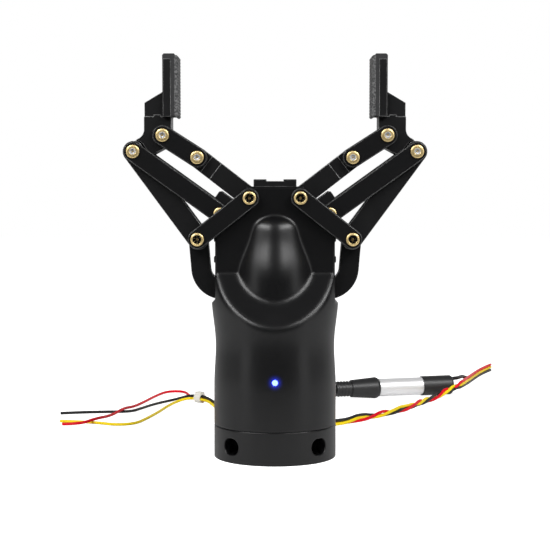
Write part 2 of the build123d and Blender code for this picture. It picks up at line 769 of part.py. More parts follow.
def make_finger_base():
    """Finger block: upright body on the upper pivot, arm out to the lower pivot."""
    span = hypot(finger_pivot_dx, finger_pivot_dz)
    arm = (finger_pivot_dx / span, finger_pivot_dz / span)
    inner_foot_at = (finger_inner_dx - finger_lower_offset * arm[1]) / arm[0]
    inner_foot = along(finger_pivot, arm, inner_foot_at, -finger_lower_offset)
    low_end = along(finger_pivot, arm, span - finger_fillet, -finger_lower_offset)
    high_end = along(finger_pivot, arm, span, finger_upper_offset)
    corner_at = (finger_outer_dx + finger_upper_offset * arm[1]) / arm[0]
    corner = along(finger_pivot, arm, corner_at, finger_upper_offset)
    outline = xz_polygon([
        (finger_inner_x, finger_top_z),
        inner_foot,
        low_end,
        finger_low_pivot,
        high_end,
        corner,
        (finger_outer_x, finger_top_z),
    ])
    outline = fillet(outline.vertices().sort_by_distance(Vector(corner[0], 0, corner[1]))[0], finger_fillet)
    outline += xz_disc(finger_low_pivot, finger_eye_r)
    block = layer(outline, -finger_half, finger_half)
    block -= y_bore(finger_pivot, pin_r + running_gap, body_r)
    block -= y_bore(finger_low_pivot, pin_r + running_gap, body_r)
    clear_w = outer_link_w + 2 * finger_eye_clearance
    clearance = xz_bar(finger_low_pivot, crank_end, clear_w)
    for cut in both_layers(clearance, rod_half, inner_half * 2):
        block -= cut
    key = Pos(finger_inner_x + key_inset, 0, finger_top_z) * Box(
        key_w, 2 * finger_half, key_h, align=(Align.MIN, Align.CENTER, Align.MIN)
    )
    block += key
    return block - tongue_solid(running_gap) - tip_screw_space()


def tongue_solid(gap):
    """Tongue under the fingertip, or with a gap the slot for it."""
    width = finger_outer_dx - finger_inner_dx - 2 * tip_tongue_inset
    return Pos(finger_inner_x + tip_tongue_inset - gap, 0, finger_top_z + key_h) * Box(
        width + 2 * gap,
        2 * (tip_tongue_half + gap),
        tip_tongue_depth + key_h + gap,
        align=(Align.MIN, Align.CENTER, Align.MAX),
    )


def tip_screw_space():
    """Bore and head recess for the screw that holds the fingertip, in from the outer face."""
    seat = Pos(finger_outer_x, 0, finger_top_z - tip_screw_drop) * Rot(0, -90, 0)
    bore = seat * Cylinder(tip_screw_r + running_gap, tip_screw_length + running_gap, align=BASE)
    return bore + seat * Cylinder(tip_screw_head_r + running_gap, tip_screw_head_h, align=BASE)


def make_tip_screw():
    seat = Pos(finger_outer_x, 0, finger_top_z - tip_screw_drop) * Rot(0, -90, 0)
    screw = Cylinder(tip_screw_r, tip_screw_length, align=BASE)
    screw += Cylinder(tip_screw_head_r, tip_screw_head_h, align=BASE)
    screw -= extrude(RegularPolygon(hex_flat_half, 6, major_radius=False), hex_depth * 2)
    return seat * screw


def make_fingertip():
    """Fingertip: wide plate behind the pad, narrower sloped shoulder, tongue below."""
    plate_h = tip_top_z - finger_top_z
    plate = Pos(finger_inner_x, 0, finger_top_z) * Box(
        tip_plate_t, 2 * tip_half, plate_h, align=(Align.MIN, Align.CENTER, Align.MIN)
    )
    plate = chamfer(plate.edges().filter_by(Axis.Z).group_by(Axis.X)[-1], tip_edge_chamfer)
    shoulder_x = finger_outer_x - side_gap
    rise = (shoulder_x - tip_outer_x) * tan(radians(tip_shoulder_slope))
    shoulder = layer(
        xz_polygon([
            (finger_inner_x + tip_plate_t / 2, finger_top_z),
            (shoulder_x, finger_top_z),
            (shoulder_x, tip_shoulder_z),
            (tip_outer_x, tip_shoulder_z + rise),
            (finger_inner_x + tip_plate_t / 2, tip_shoulder_z + rise),
        ]),
        -finger_half,
        finger_half,
    )
    notch = Pos(finger_inner_x + key_inset - running_gap, 0, finger_top_z) * Box(
        key_w + 2 * running_gap, body_r, key_h + running_gap, align=(Align.MIN, Align.CENTER, Align.MIN)
    )
    return plate + shoulder - notch + tongue_solid(0) - tip_screw_space()


def make_pad():
    """Rubber pad: smooth backing that laps over the plate's top, grip layer on its face."""
    top_z = tip_top_z + pad_lip_h
    base_z = finger_top_z + side_gap
    backing = Pos(pad_back_x, 0, base_z) * Box(
        pad_t, 2 * tip_half, top_z - base_z, align=(Align.MAX, Align.CENTER, Align.MIN)
    )
    lip = Pos(pad_back_x, 0, tip_top_z) * Box(
        tip_plate_t, 2 * tip_half, pad_lip_h, align=(Align.MIN, Align.CENTER, Align.MIN)
    )
    pad = backing + lip
    pad = chamfer(pad.edges().filter_by(Axis.Y).group_by(Axis.Z)[-1], pad_top_chamfer)
    grip_base_z = base_z - pad_overlap
    grip = Pos(pad_back_x - pad_t, 0, grip_base_z) * Box(
        pad_grip_t,
        2 * tip_half,
        top_z - pad_top_chamfer - grip_base_z,
        align=(Align.MAX, Align.CENTER, Align.MIN),
    )
    grip = chamfer(grip.edges().filter_by(Axis.Y).group_by(Axis.X)[0], pad_grip_t * 0.5)
    return pad + grip


def make_cord(name, points, radius):
    """Plain tube on straight runs joined by tangent arcs, each as large as its runs allow."""
    stops = [Vector(*point) for point in points]
    radii = []
    for before, here, after in zip(stops, stops[1:], stops[2:]):
        turn = radians((here - before).get_angle(after - here))
        shorter = min((here - before).length, (after - here).length)
        radii.append(0.45 * shorter / tan(turn / 2))
    path = FilletPolyline(*stops, radius=radii)
    cord = sweep(Plane(origin=path @ 0, z_dir=path % 0) * Circle(radius), path=path)
    ratio = cord.volume / (path.length * pi * radius**2)
    print(f"{name}: length {path.length:.1f}, tightest bend {min(radii):.1f} for {2 * radius:.1f} dia, "
          f"volume ratio {ratio:.4f}")
    return cord


def along_connector(distance, height=connector_z):
    """Point at a distance along the connector pair, from the cable end."""
    heading = radians(connector_heading)
    x, y = connector_start
    return (x + distance * cos(heading), y + distance * sin(heading), height)


def turned(outline):
    """Solid of revolution about Z, from (distance, radius) pairs."""
    points = [(radius, distance) for distance, radius in outline]
    points = [(0, outline[0][0])] + points + [(0, outline[-1][0])]
    return revolve(Plane.XZ * make_face(Polyline(*points, close=True)), Axis.Z)


def make_connector():
    """In-line connector pair: cable plug, bright coupling sleeve, socket."""
    heading = radians(connector_heading)
    axis = (cos(heading), sin(heading), 0)
    body_end = plug_length + sleeve_length
    plug = turned([
        (0, plug_relief_r),
        (plug_relief_length, plug_relief_r),
        (plug_relief_length, plug_neck_r),
        (plug_length - plug_end_fillet, plug_end_r),
        (plug_length, plug_end_r),
    ])
    plug = fillet(plug.edges().group_by(Axis.Z)[-1], plug_end_fillet)
    plug -= Cylinder(main_cable_r + running_gap, cable_grip, align=BASE)
    sleeve = Cylinder(sleeve_r, sleeve_length, align=BASE)
    socket = Cylinder(socket_r, socket_length, align=BASE)
    socket = fillet(socket.edges().group_by(Axis.Z)[-1], socket_fillet)
    tail_bore = Cylinder(tail_lead_r + running_gap, cable_grip, align=BASE)
    socket -= Pos(connector_z - tail_exit_z, 0, socket_length - cable_grip) * tail_bore
    seats = [
        Plane(origin=along_connector(at), x_dir=(0, 0, -1), z_dir=axis)
        for at in (0, plug_length, body_end)
    ]
    return {
        "cable_plug": seats[0] * plug,
        "coupling_sleeve": seats[1] * sleeve,
        "cable_socket": seats[2] * socket,
    }


def make_leads():
    """Main cable, three thin leads through one tie, twisted lead and connector tail."""
    heading = radians(tie_heading)
    across = (sin(heading), -cos(heading))
    ring = wire_r * 1.4
    places = {
        "left_lead_yellow": (-ring * cos(radians(30)), -ring / 2, yellow_points),
        "left_lead_black": (0, ring, black_points),
        "left_lead_red": (ring * cos(radians(30)), -ring / 2, red_points),
    }
    leads = {}
    for step, (name, (side, rise, route)) in enumerate(places.items()):
        exit_x = yellow_exit_x + step * wire_pitch
        lead_in = [(exit_x, exit_y, outlet_z)] + [(exit_x + x, y, z) for x, y, z in wire_lead_in]
        in_tie = [
            (
                tie_at[0] + reach * cos(heading) + side * across[0],
                tie_at[1] + reach * sin(heading) + side * across[1],
                tie_r + rise,
            )
            for reach in (-tie_reach, tie_reach)
        ]
        leads[name] = make_cord(name, lead_in + in_tie + route, wire_r)
    body_end = plug_length + sleeve_length + socket_length
    start = (0, exit_y, outlet_z)
    main_end = along_connector(cable_grip - 1)
    leads["main_cable"] = make_cord("main_cable", [start] + main_cable_points + [main_end], main_cable_r)
    start = (right_exit_x, exit_y, outlet_z)
    leads["right_lead"] = make_cord("right_lead", [start] + right_lead_points, right_lead_r)
    tail = [along_connector(body_end + reach, tail_exit_z) for reach in (1 - cable_grip, cable_grip / 2)]
    leads["tail_lead"] = make_cord("tail_lead", tail + tail_lead_points, tail_lead_r)
    return leads


def make_cable_tie():
    """Tie round the three thin leads, with its latch on top."""
    heading = radians(tie_heading)
    bore = Cylinder(tie_bore_r, tie_w * 2)
    latch = Pos(-tie_r, 0, 0) * Box(tie_r * 0.5, tie_r * 1.2, tie_w)
    tie = Cylinder(tie_r, tie_w) + latch - bore
    seat = Plane(origin=(*tie_at, tie_r), x_dir=(0, 0, -1), z_dir=(cos(heading), sin(heading), 0))
    return seat * tie


def bundle(solids):
    return Compound(children=[part.solid() for part in solids])


cover, cover_screws = make_top_cover()
crank_pins = [
    (pivot, crank_outer_half, crank_hex_flat_half, crank_hex_depth)
    for pivot in (link_root, crank_end)
]
plate_screws = {
    "knuckle_screws": (knuckle, finger_pivot),
    "lower_link_screws": (lower_root, finger_low_pivot),
}
right_side = {
    "upper_link": [make_upper_link()],
    "knuckle_plates": make_knuckle_plates(),
    "lower_link_plates": make_plates(
        lower_root, finger_low_pivot, lower_link_w, plate_inner_half, plate_outer_half
    ),
    "crank_plates": make_plates(link_root, crank_end, crank_w, crank_inner_half, crank_outer_half),
    "crank_screws": [pivot_screw(*pin) for pin in crank_pins],
    "crank_spacers": make_crank_spacers(),
    "outer_link": [make_outer_link()],
    "push_rod": [make_push_rod()],
    "finger_base": [make_finger_base()],
    "fingertip": [make_fingertip()],
    "finger_pad": [make_pad()],
    "fingertip_screw": [make_tip_screw()],
}
for name, pivots in plate_screws.items():
    right_side[name] = [pivot_screw(pivot, plate_outer_half, hex_flat_half, hex_depth) for pivot in pivots]

nodes = {
    "mounting_flange": [make_flange()],
    "flange_screws": make_joint_screws(),
    "housing": [make_housing()],
    "top_cover": [cover],
    "top_cover_screws": cover_screws,
    "head_side_screws": make_side_screws(),
    "status_light": [make_status_light()],
    "link_anchors": make_anchors(),
    "cable_grommet": [make_grommet()],
    "lead_screw": [make_lead_screw()],
    "cable_tie": [make_cable_tie()],
}
for pieces in (make_drive(), make_crosshead(), make_connector(), make_leads()):
    for name, solids in pieces.items():
        nodes[name] = solids if isinstance(solids, list) else [solids]
for name, solids in right_side.items():
    nodes["right_" + name] = solids
    nodes["left_" + name] = mirrored(solids)

for name, solids in nodes.items():
    shape = solids[0] if len(solids) == 1 else bundle(solids)
    expected = len(solids)
    found = len(shape.solids())
    if found != expected:
        print(f"{name}: {found} solids, {expected} expected")
    export_step(shape, f"parts/{name}.step")
print(len(nodes), "nodes")
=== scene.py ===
"""Look of the electric two-finger gripper: finishes, grip pads, leads, connector and a plain studio."""

import math

import bmesh
import bpy
from mathutils import Matrix, Vector


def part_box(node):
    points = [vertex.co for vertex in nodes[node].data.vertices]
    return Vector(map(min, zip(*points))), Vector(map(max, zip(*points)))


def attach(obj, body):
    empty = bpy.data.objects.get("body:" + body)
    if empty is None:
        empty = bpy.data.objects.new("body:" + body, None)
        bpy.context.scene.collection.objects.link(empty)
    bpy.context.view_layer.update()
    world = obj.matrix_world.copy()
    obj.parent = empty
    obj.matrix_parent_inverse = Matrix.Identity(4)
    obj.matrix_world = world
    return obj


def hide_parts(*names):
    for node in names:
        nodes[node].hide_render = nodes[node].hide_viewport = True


bl_info = {
    "name": "Electric Gripper Dressing",
    "version": (1, 0, 0),
    "blender": (4, 5, 0),
    "location": "View3D > Sidebar > Gripper",
    "description": "Finishes, grip pads, leads and studio for the electric two-finger gripper",
    "category": "Object",
}

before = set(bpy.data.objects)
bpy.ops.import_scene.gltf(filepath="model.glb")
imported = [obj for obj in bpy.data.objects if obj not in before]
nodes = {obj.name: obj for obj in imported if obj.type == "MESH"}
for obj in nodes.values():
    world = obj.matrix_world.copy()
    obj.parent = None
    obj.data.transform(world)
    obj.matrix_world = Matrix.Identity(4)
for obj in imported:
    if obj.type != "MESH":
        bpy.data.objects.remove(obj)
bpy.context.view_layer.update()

MM = 0.001

# Centreline points of the leads, in millimetres, outwards from the rear outlet
main_cable_points = [
    (0, 30, 23), (0, 55, 23), (-2, 80, 9.7), (-8, 112, 3.05), (-15, 140, 3.05), (-8, 168, 3.4),
    (18.3, 187.6, 7.0), (44.31, 194.964, 7.0),
]
red_points = [
    (-6.4, 30, 23), (-6.4, 46, 23), (-8.1, 61, 13.5), (-11.6, 78, 0.95), (-16.6, 102, 0.95),
    (-23.6, 128, 0.95), (-31.6, 152, 0.95), (-41.782, 176.390, 2.605), (-53.634, 187.137, 2.605),
    (-57, 208, 0.95), (-61, 226, 0.95), (-72.5, 226.5, 0.95), (-78.5, 207, 0.95), (-83.8, 180, 0.95),
    (-88.6, 156, 1.3), (-93, 138.5, 3.2), (-98.5, 119, 1.6), (-105.3, 99, 3.2), (-113, 89, 1.6),
    (-124, 92.5, 0.95),
]
black_points = [
    (-8.8, 30, 23), (-8.8, 46, 23), (-10.5, 61, 13.5), (-14, 78, 0.95), (-19, 102, 0.95),
    (-26, 128, 0.95), (-34, 152, 0.95), (-42.474, 175.626, 4.39), (-54.326, 186.374, 4.39),
    (-64, 190.6, 0.95), (-76.2, 171.1, 0.95), (-83.5, 152, 0.95), (-88.3, 139, 0.95),
    (-104.5, 137.9, 0.95), (-118, 136.2, 0.95), (-131, 132.5, 0.95),
]
yellow_points = [
    (-11.2, 30, 23), (-11.2, 46, 23), (-12.9, 61, 13.5), (-16.4, 78, 0.95), (-21.4, 102, 0.95),
    (-28.4, 128, 0.95), (-36.4, 152, 0.95), (-43.166, 174.863, 2.605), (-55.018, 185.610, 2.605),
    (-62.5, 183, 0.95), (-67.5, 163, 0.95), (-71.5, 137, 0.95), (-77, 111, 0.95), (-81.5, 94.5, 0.95),
    (-92, 89.5, 0.95), (-104, 97, 0.95), (-115.5, 101, 0.95), (-127, 103.3, 0.95),
]
twisted_points = [
    (9, 30, 23), (9, 46, 23), (12, 63, 11), (19, 80, 1.9), (35.3, 91.6, 1.9), (46.1, 100.4, 1.9),
    (57.7, 115.3, 1.9), (68.8, 128.0, 1.9), (80.6, 145.8, 1.9), (93.7, 171.4, 1.9), (103, 190, 2.0),
    (110.4, 199.6, 3.6), (118.1, 205.0, 6.6), (124.9, 214.3, 8.3), (129.5, 232, 7.2),
    (134.6, 254.6, 5.2), (142.2, 285, 3.4), (151.5, 314, 3.0), (162.0, 338, 3.1),
]
tail_points = [
    (112.93, 214.42, 10.9), (120.627, 216.602, 10.9), (127.5, 234, 10.3), (131.0, 256, 6.8),
    (139.0, 285.7, 1.8), (148.3, 315, 1.25), (159.2, 346, 1.25),
]

# Where the red, yellow and black wires lie in the twisted lead: distance along it, then each one's offset
# to the back and up, in millimetres
seen_twist = [
    (75.9, (1.5, 0.3), (-0.3, -0.9), (0.1, 1.1)),
    (82.7, (1.1, -0.5), (-0.6, -0.7), (-0.1, 1.2)),
    (88.7, (0.5, -1.0), (-0.6, 0.1), (0.2, 1.6)),
    (94.1, (-0.1, -1.0), (-0.2, 0.7), (0.3, 2.2)),
    (101.9, (-1.3, -0.6), (0.2, 0.2), (0.7, 1.8)),
    (109.2, (-1.1, 0.3), (0.5, -0.8), (1.5, 0.6)),
    (115.2, (-0.7, 1.3), (-0.5, -0.9), (1.2, -0.2)),
    (121.3, (0.2, 1.4), (-0.9, -0.2), (0.6, -1.0)),
    (126.9, (1.0, 0.6), (-0.8, 0.6), (0.0, -1.0)),
    (132.9, (0.9, -0.8), (-0.5, 1.1), (-0.7, -0.7)),
    (139.3, (0.1, -1.0), (-0.2, 1.6), (-1.1, 0.2)),
    (145.8, (-1.2, -0.8), (0.0, 1.5), (0.45, -0.2)),
    (153.4, (-1.3, -0.1), (0.2, 1.0), (0.3, -0.8)),
    (160.3, (-1.1, 0.6), (0.7, 0.7), (0.0, -1.0)),
    (168.7, (-0.3, 1.4), (-0.6, -0.2), (0.6, -1.0)),
    (175.7, (0.9, 0.9), (-0.7, 0.8), (-0.3, -0.9)),
    (182.6, (0.9, -0.7), (0.2, 1.2), (-1.0, -0.2)),
    (189.8, (-0.3, -1.1), (0.9, 0.3), (-0.8, 0.8)),
    (197.5, (-1.3, -0.5), (0.7, -0.5), (-0.1, 1.2)),
    (202.9, (-1.2, 0.3), (-0.1, -1.2), (0.9, 0.7)),
    (208.6, (-0.3, 1.4), (-1.0, -0.3), (0.8, -0.4)),
    (212.7, (0.9, 0.8), (-1.1, 0.3), (0.2, -1.0)),
    (216.5, (0.8, -0.7), (-0.6, 1.1), (-0.9, -0.8)),
    (221.0, (-1.1, 0.5), (0.7, 0.3), (-0.1, -1.3)),
    (227.0, (-0.4, 1.3), (-0.3, -0.5), (0.2, -2.2)),
    (255.4, (0.0, 1.6), (-0.3, -0.2), (0.2, -2.3)),
    (300.8, (0.4, 1.8), (-0.2, 0.0), (0.2, -2.0)),
    (338.6, (0.2, 2.0), (0.0, 0.1), (0.2, -1.9)),
    (366.0, (0.0, 2.0), (0.0, 0.1), (0.0, -2.1)),
]


class GripperFinishes(bpy.types.PropertyGroup):
    """Colours of the gripper's finishes"""

    anodised: bpy.props.FloatVectorProperty(
        name="Anodised", description="Black anodised aluminium", subtype="COLOR", size=3,
        default=(0.0036, 0.0036, 0.0040), min=0, max=1,
    )
    rubber: bpy.props.FloatVectorProperty(
        name="Rubber", description="Finger pads", subtype="COLOR", size=3,
        default=(0.020, 0.020, 0.021), min=0, max=1,
    )
    brass: bpy.props.FloatVectorProperty(
        name="Brass", description="Heads of the pivot screws", subtype="COLOR", size=3,
        default=(0.90, 0.69, 0.33), min=0, max=1,
    )
    red: bpy.props.FloatVectorProperty(
        name="Red wire", description="Insulation of the red wires", subtype="COLOR", size=3,
        default=(0.78, 0.006, 0.020), min=0, max=1,
    )
    yellow: bpy.props.FloatVectorProperty(
        name="Yellow wire", description="Insulation of the yellow wires", subtype="COLOR", size=3,
        default=(0.98, 0.74, 0.015), min=0, max=1,
    )
    jacket: bpy.props.FloatVectorProperty(
        name="Black jacket", description="Black wires, cable and connector", subtype="COLOR", size=3,
        default=(0.010, 0.010, 0.011), min=0, max=1,
    )
    light: bpy.props.FloatVectorProperty(
        name="Status light", description="Colour of the status light", subtype="COLOR", size=3,
        default=(0.02, 0.05, 1.0), min=0, max=1,
    )


class GripperSizes(bpy.types.PropertyGroup):
    """Sizes of the small forms"""

    grip_pitch: bpy.props.FloatProperty(
        name="Grip pitch", description="Distance between grip pips", unit="LENGTH",
        default=0.0015, min=0.001,
    )
    grip_height: bpy.props.FloatProperty(
        name="Grip height", description="Height of a grip pip", unit="LENGTH",
        default=0.00018, min=0.0,
    )
    strand_radius: bpy.props.FloatProperty(
        name="Strand radius", description="Radius of one wire of the twisted lead", unit="LENGTH",
        default=0.00094, min=0.0001,
    )
    rib_pitch: bpy.props.FloatProperty(
        name="Rib pitch", description="Distance between ribs on the cable plug", unit="LENGTH",
        default=0.0021, min=0.0005,
    )


class GripperStudio(bpy.types.PropertyGroup):
    """Floor, light and camera"""

    lamp_power: bpy.props.FloatProperty(
        name="Lamp power", description="Power of each side lamp", subtype="POWER",
        default=15.0, min=0.0,
    )
    panel_power: bpy.props.FloatProperty(
        name="Panel power", description="Power of each low side panel", subtype="POWER",
        default=1.3, min=0.0,
    )
    front_level: bpy.props.FloatProperty(
        name="Front level", description="Brightness of the studio behind the camera",
        default=0.03, min=0.0, max=1.0,
    )
    camera_distance: bpy.props.FloatProperty(
        name="Camera distance", description="From the gripper's axis", unit="LENGTH",
        default=0.750, min=0.2,
    )
    camera_height: bpy.props.FloatProperty(
        name="Camera height", description="Above the floor", unit="LENGTH",
        default=0.1413, min=0.0,
    )
    camera_azimuth: bpy.props.FloatProperty(
        name="Camera azimuth", description="Turn round the gripper", subtype="ANGLE", default=0.0,
    )


# Shaders


def new_shader(name, color, roughness, metallic=0.0, **extra):
    """Principled surface with constant values on its sockets."""
    material = bpy.data.materials.new(name)
    material.use_nodes = True
    shader = material.node_tree.nodes["Principled BSDF"]
    shader.inputs["Base Color"].default_value = (*color, 1)
    shader.inputs["Roughness"].default_value = roughness
    shader.inputs["Metallic"].default_value = metallic
    for socket, value in extra.items():
        shader.inputs[socket.replace("_", " ")].default_value = value
    return material


def add_node(tree, kind, **inputs):
    """New node with constant values on its sockets."""
    node = tree.nodes.new(kind)
    for name, value in inputs.items():
        node.inputs[name.replace("_", " ")].default_value = value
    return node


def calculate(tree, operation, *values):
    """Result of one operation on sockets and plain numbers."""
    node = tree.nodes.new("ShaderNodeMath")
    node.operation = operation
    for socket, value in zip(node.inputs, values):
        if isinstance(value, bpy.types.NodeSocket):
            tree.links.new(value, socket)
        else:
            socket.default_value = value
    return node.outputs[0]


def ramp(tree, value, low, high, first=0.0, last=1.0, easing="LINEAR"):
    """Value that goes from first to last while the given one goes from low to high."""
    node = add_node(tree, "ShaderNodeMapRange", From_Min=low, From_Max=high, To_Min=first, To_Max=last)
    node.interpolation_type = easing
    tree.links.new(value, node.inputs["Value"])
    return node.outputs["Result"]


def object_axis(tree, axis):
    """One of the Object coordinates."""
    coordinates = tree.nodes.new("ShaderNodeTexCoord")
    split = tree.nodes.new("ShaderNodeSeparateXYZ")
    tree.links.new(coordinates.outputs["Object"], split.inputs[0])
    return split.outputs[axis]


def object_noise(tree, scale, detail=2.0):
    """Noise on Object coordinates."""
    coordinates = tree.nodes.new("ShaderNodeTexCoord")
    noise = add_node(tree, "ShaderNodeTexNoise", Scale=scale, Detail=detail)
    tree.links.new(coordinates.outputs["Object"], noise.inputs["Vector"])
    return noise.outputs["Fac"]


def add_grain(material, scale, strength, depth, edge=0.0):
    """Fine blasted grain, with softly rounded edges where an edge radius is given."""
    tree = material.node_tree
    bump = add_node(tree, "ShaderNodeBump", Strength=strength, Distance=depth)
    tree.links.new(object_noise(tree, scale), bump.inputs["Height"])
    if edge:
        tree.links.new(round_edges(tree, edge), bump.inputs["Normal"])
    tree.links.new(bump.outputs["Normal"], tree.nodes["Principled BSDF"].inputs["Normal"])


def round_edges(tree, radius):
    """Normal of the surface with its edges rounded off."""
    bevel = add_node(tree, "ShaderNodeBevel", Radius=radius)
    bevel.samples = 6
    return bevel.outputs["Normal"]


def widen_edges(material, low, high, narrow, wide, fade=0.004):
    """Rounder edges between two heights, where the housing's sloped shoulders meet its round body."""
    tree = material.node_tree
    bevel = next(node for node in tree.nodes if node.type == "BEVEL")
    bevel.samples = 8
    height = object_axis(tree, "Z")
    within = calculate(
        tree, "MULTIPLY", ramp(tree, height, low, low + fade), ramp(tree, height, high, high - fade),
    )
    tree.links.new(ramp(tree, within, 0.0, 1.0, narrow, wide), bevel.inputs["Radius"])


def blend_wear_and_highlight(tree, color, wear_and_highlight, amount):
    """Base colour that goes over to the paler one by this amount; the paler colour paints edge wear with
    edge highlight on the metal and highlight patches on the rubber.
    """
    blend = tree.nodes.new("ShaderNodeMix")
    blend.data_type = "RGBA"
    blend.inputs["A"].default_value = (*color, 1)
    blend.inputs["B"].default_value = (*wear_and_highlight, 1)
    tree.links.new(amount, blend.inputs["Factor"])
    tree.links.new(blend.outputs["Result"], tree.nodes["Principled BSDF"].inputs["Base Color"])


def add_edge_wear_and_highlight(material, color, wear_and_highlight, radius):
    """Lighter line along the edges: partly wear, where the dark skin is polished through, partly painted
    edge highlight.
    """
    tree = material.node_tree
    surface = tree.nodes.new("ShaderNodeNewGeometry")
    compare = tree.nodes.new("ShaderNodeVectorMath")
    compare.operation = "DOT_PRODUCT"
    tree.links.new(round_edges(tree, radius), compare.inputs[0])
    tree.links.new(surface.outputs["Normal"], compare.inputs[1])
    # The rounded and the flat normal agree less, the nearer the edge
    edge_wear_and_highlight = ramp(tree, compare.outputs["Value"], 0.985, 0.80)
    patches = ramp(tree, object_noise(tree, 180, 3.0), 0.3, 0.6, 0.35)
    # Paler colour along the edges: edge wear together with painted edge highlight
    blend_wear_and_highlight(tree, color, wear_and_highlight, calculate(tree, "MULTIPLY", edge_wear_and_highlight, patches))


def add_light_spill(material, centre, color, reach, strength):
    """Coloured glow on the surface round a small light, by distance in Object coordinates."""
    tree = material.node_tree
    shader = tree.nodes["Principled BSDF"]
    coordinates = tree.nodes.new("ShaderNodeTexCoord")
    apart = tree.nodes.new("ShaderNodeVectorMath")
    apart.operation = "DISTANCE"
    apart.inputs[1].default_value = centre
    tree.links.new(coordinates.outputs["Object"], apart.inputs[0])
    fade = ramp(tree, apart.outputs["Value"], 0.0, reach, 1.0, 0.0, "SMOOTHERSTEP")
    glow = calculate(tree, "MULTIPLY", calculate(tree, "POWER", fade, 3.0), strength)
    shader.inputs["Emission Color"].default_value = (*color, 1)
    tree.links.new(glow, shader.inputs["Emission Strength"])


def add_grip_strip_highlight(material, color, wear_and_highlight, grip_x, width):
    """Paler, lumpy patches of painted highlight on the strip next to the grip face, by distance from the
    middle plane.
    """
    tree = material.node_tree
    away = calculate(tree, "ABSOLUTE", object_axis(tree, "X"))
    strip = ramp(tree, away, grip_x + width, grip_x + 0.8 * width)
    patches = ramp(tree, object_noise(tree, 900, 3.0), 0.40, 0.62, 0.15)
    amount = calculate(tree, "MULTIPLY", strip, patches)
    blend_wear_and_highlight(tree, color, wear_and_highlight, amount)
    lumps = add_node(tree, "ShaderNodeBump", Strength=0.7, Distance=0.0004)
    tree.links.new(amount, lumps.inputs["Height"])
    grain = tree.nodes["Principled BSDF"].inputs["Normal"].links[0].from_node
    if grain.inputs["Normal"].is_linked:
        tree.links.new(grain.inputs["Normal"].links[0].from_socket, lumps.inputs["Normal"])
    tree.links.new(lumps.outputs["Normal"], grain.inputs["Normal"])


def vary_roughness(material, scale, low, high):
    """Slow change of roughness over the surface, as handled metal has."""
    tree = material.node_tree
    spread = ramp(tree, object_noise(tree, scale, 3.0), 0.0, 1.0, low, high)
    tree.links.new(spread, tree.nodes["Principled BSDF"].inputs["Roughness"])


def paler(color, step):
    """Colour with every channel raised by this step."""
    return [step + channel for channel in color]


# The status light's place on the housing and how far its glow reaches, in metres
light_place = (0, -0.0315, 0.0421)
light_reach = 0.0065

# Width of the strip next to the grip face that gets painted highlight patches, in metres
grip_highlight_width = 0.0019


def make_materials(finishes):
    """Every finish, by the short name that the pieces use."""
    made = {}
    skin = finishes.anodised
    # Paler edge colour for the metal: edge wear with painted edge highlight
    wear_and_highlight = paler(skin, 0.40)
    made["anodised"] = new_shader("anodised_black", skin, 0.40, Specular_IOR_Level=0.40)
    add_grain(made["anodised"], 5200, 0.08, 0.00003, 0.0004)
    add_edge_wear_and_highlight(made["anodised"], skin, wear_and_highlight, 0.0005)
    vary_roughness(made["anodised"], 60, 0.36, 0.44)
    made["body"] = new_shader("anodised_body", skin, 0.31, Specular_IOR_Level=0.40)
    add_grain(made["body"], 5200, 0.08, 0.00003, 0.0010)
    widen_edges(made["body"], 0.060, 0.097, 0.0010, 0.0042)
    vary_roughness(made["body"], 60, 0.29, 0.35)
    add_light_spill(made["body"], light_place, finishes.light, light_reach, 0.55)
    made["plate"] = new_shader("anodised_plate", skin, 0.36, Specular_IOR_Level=0.35)
    add_grain(made["plate"], 4200, 0.08, 0.00003, 0.0003)
    add_edge_wear_and_highlight(made["plate"], skin, wear_and_highlight, 0.0005)
    made["rubber"] = new_shader("pad_rubber", finishes.rubber, 0.62, Specular_IOR_Level=0.4)
    add_grain(made["rubber"], 1800, 0.22, 0.00008, 0.0003)
    grip_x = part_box("right_finger_pad")[0].x
    # Paler patches on the grip strip are painted highlight
    add_grip_strip_highlight(made["rubber"], finishes.rubber, paler(finishes.rubber, 0.12), grip_x, grip_highlight_width)
    made["light"] = new_shader(
        "status_lens", (0.5, 0.6, 1.0), 0.2, Emission_Color=(*finishes.light, 1), Emission_Strength=6.0,
    )
    for name in ("red", "yellow"):
        made[name] = new_shader("wire_" + name, getattr(finishes, name), 0.42, Specular_IOR_Level=0.15)
        add_grain(made[name], 700, 0.06, 0.00006)
    plug_color = paler(finishes.jacket, 0.012)
    # Material, colour, roughness, metallic, and the grain's scale, strength, depth and edge radius
    plain = {
        "brass": ("screw_brass", finishes.brass, 0.42, 1.0, (1500, 0.05, 0.00005)),
        "bright_socket": ("socket_bright", (0.92, 0.92, 0.92), 0.44, 1.0, (2600, 0.10, 0.00006)),
        # The dark lining of the deep crank sockets is painted shade in the recess
        "painted_shade_socket": ("socket_painted_shade", (0.05, 0.05, 0.052), 0.25, 1.0, (2600, 0.10, 0.00006)),
        "small_screw": ("screw_blackened", (0.03, 0.03, 0.032), 0.3, 0.6, (2500, 0.05, 0.00005, 0.0002)),
        "jacket": ("cable_jacket", finishes.jacket, 0.45, 0.0, (900, 0.08, 0.00006)),
        "plug": ("connector_black", plug_color, 0.42, 0.0, (1400, 0.10, 0.00005, 0.0002)),
        "sleeve": ("sleeve_metal", (0.92, 0.92, 0.93), 0.34, 0.45, (1200, 0.12, 0.00006, 0.0003)),
        "tie": ("tie_nylon", (0.86, 0.84, 0.78), 0.45, 0.0, (900, 0.05, 0.00005, 0.0002)),
        "motor": ("motor_steel", (0.42, 0.42, 0.43), 0.35, 1.0, (900, 0.05, 0.00005)),
        "board": ("board_green", (0.01, 0.08, 0.03), 0.35, 0.0, (900, 0.03, 0.00005)),
    }
    for name, (material, color, roughness, metallic, grain) in plain.items():
        made[name] = new_shader(material, color, roughness, metallic)
        add_grain(made[name], *grain)
    return made


materials = {}

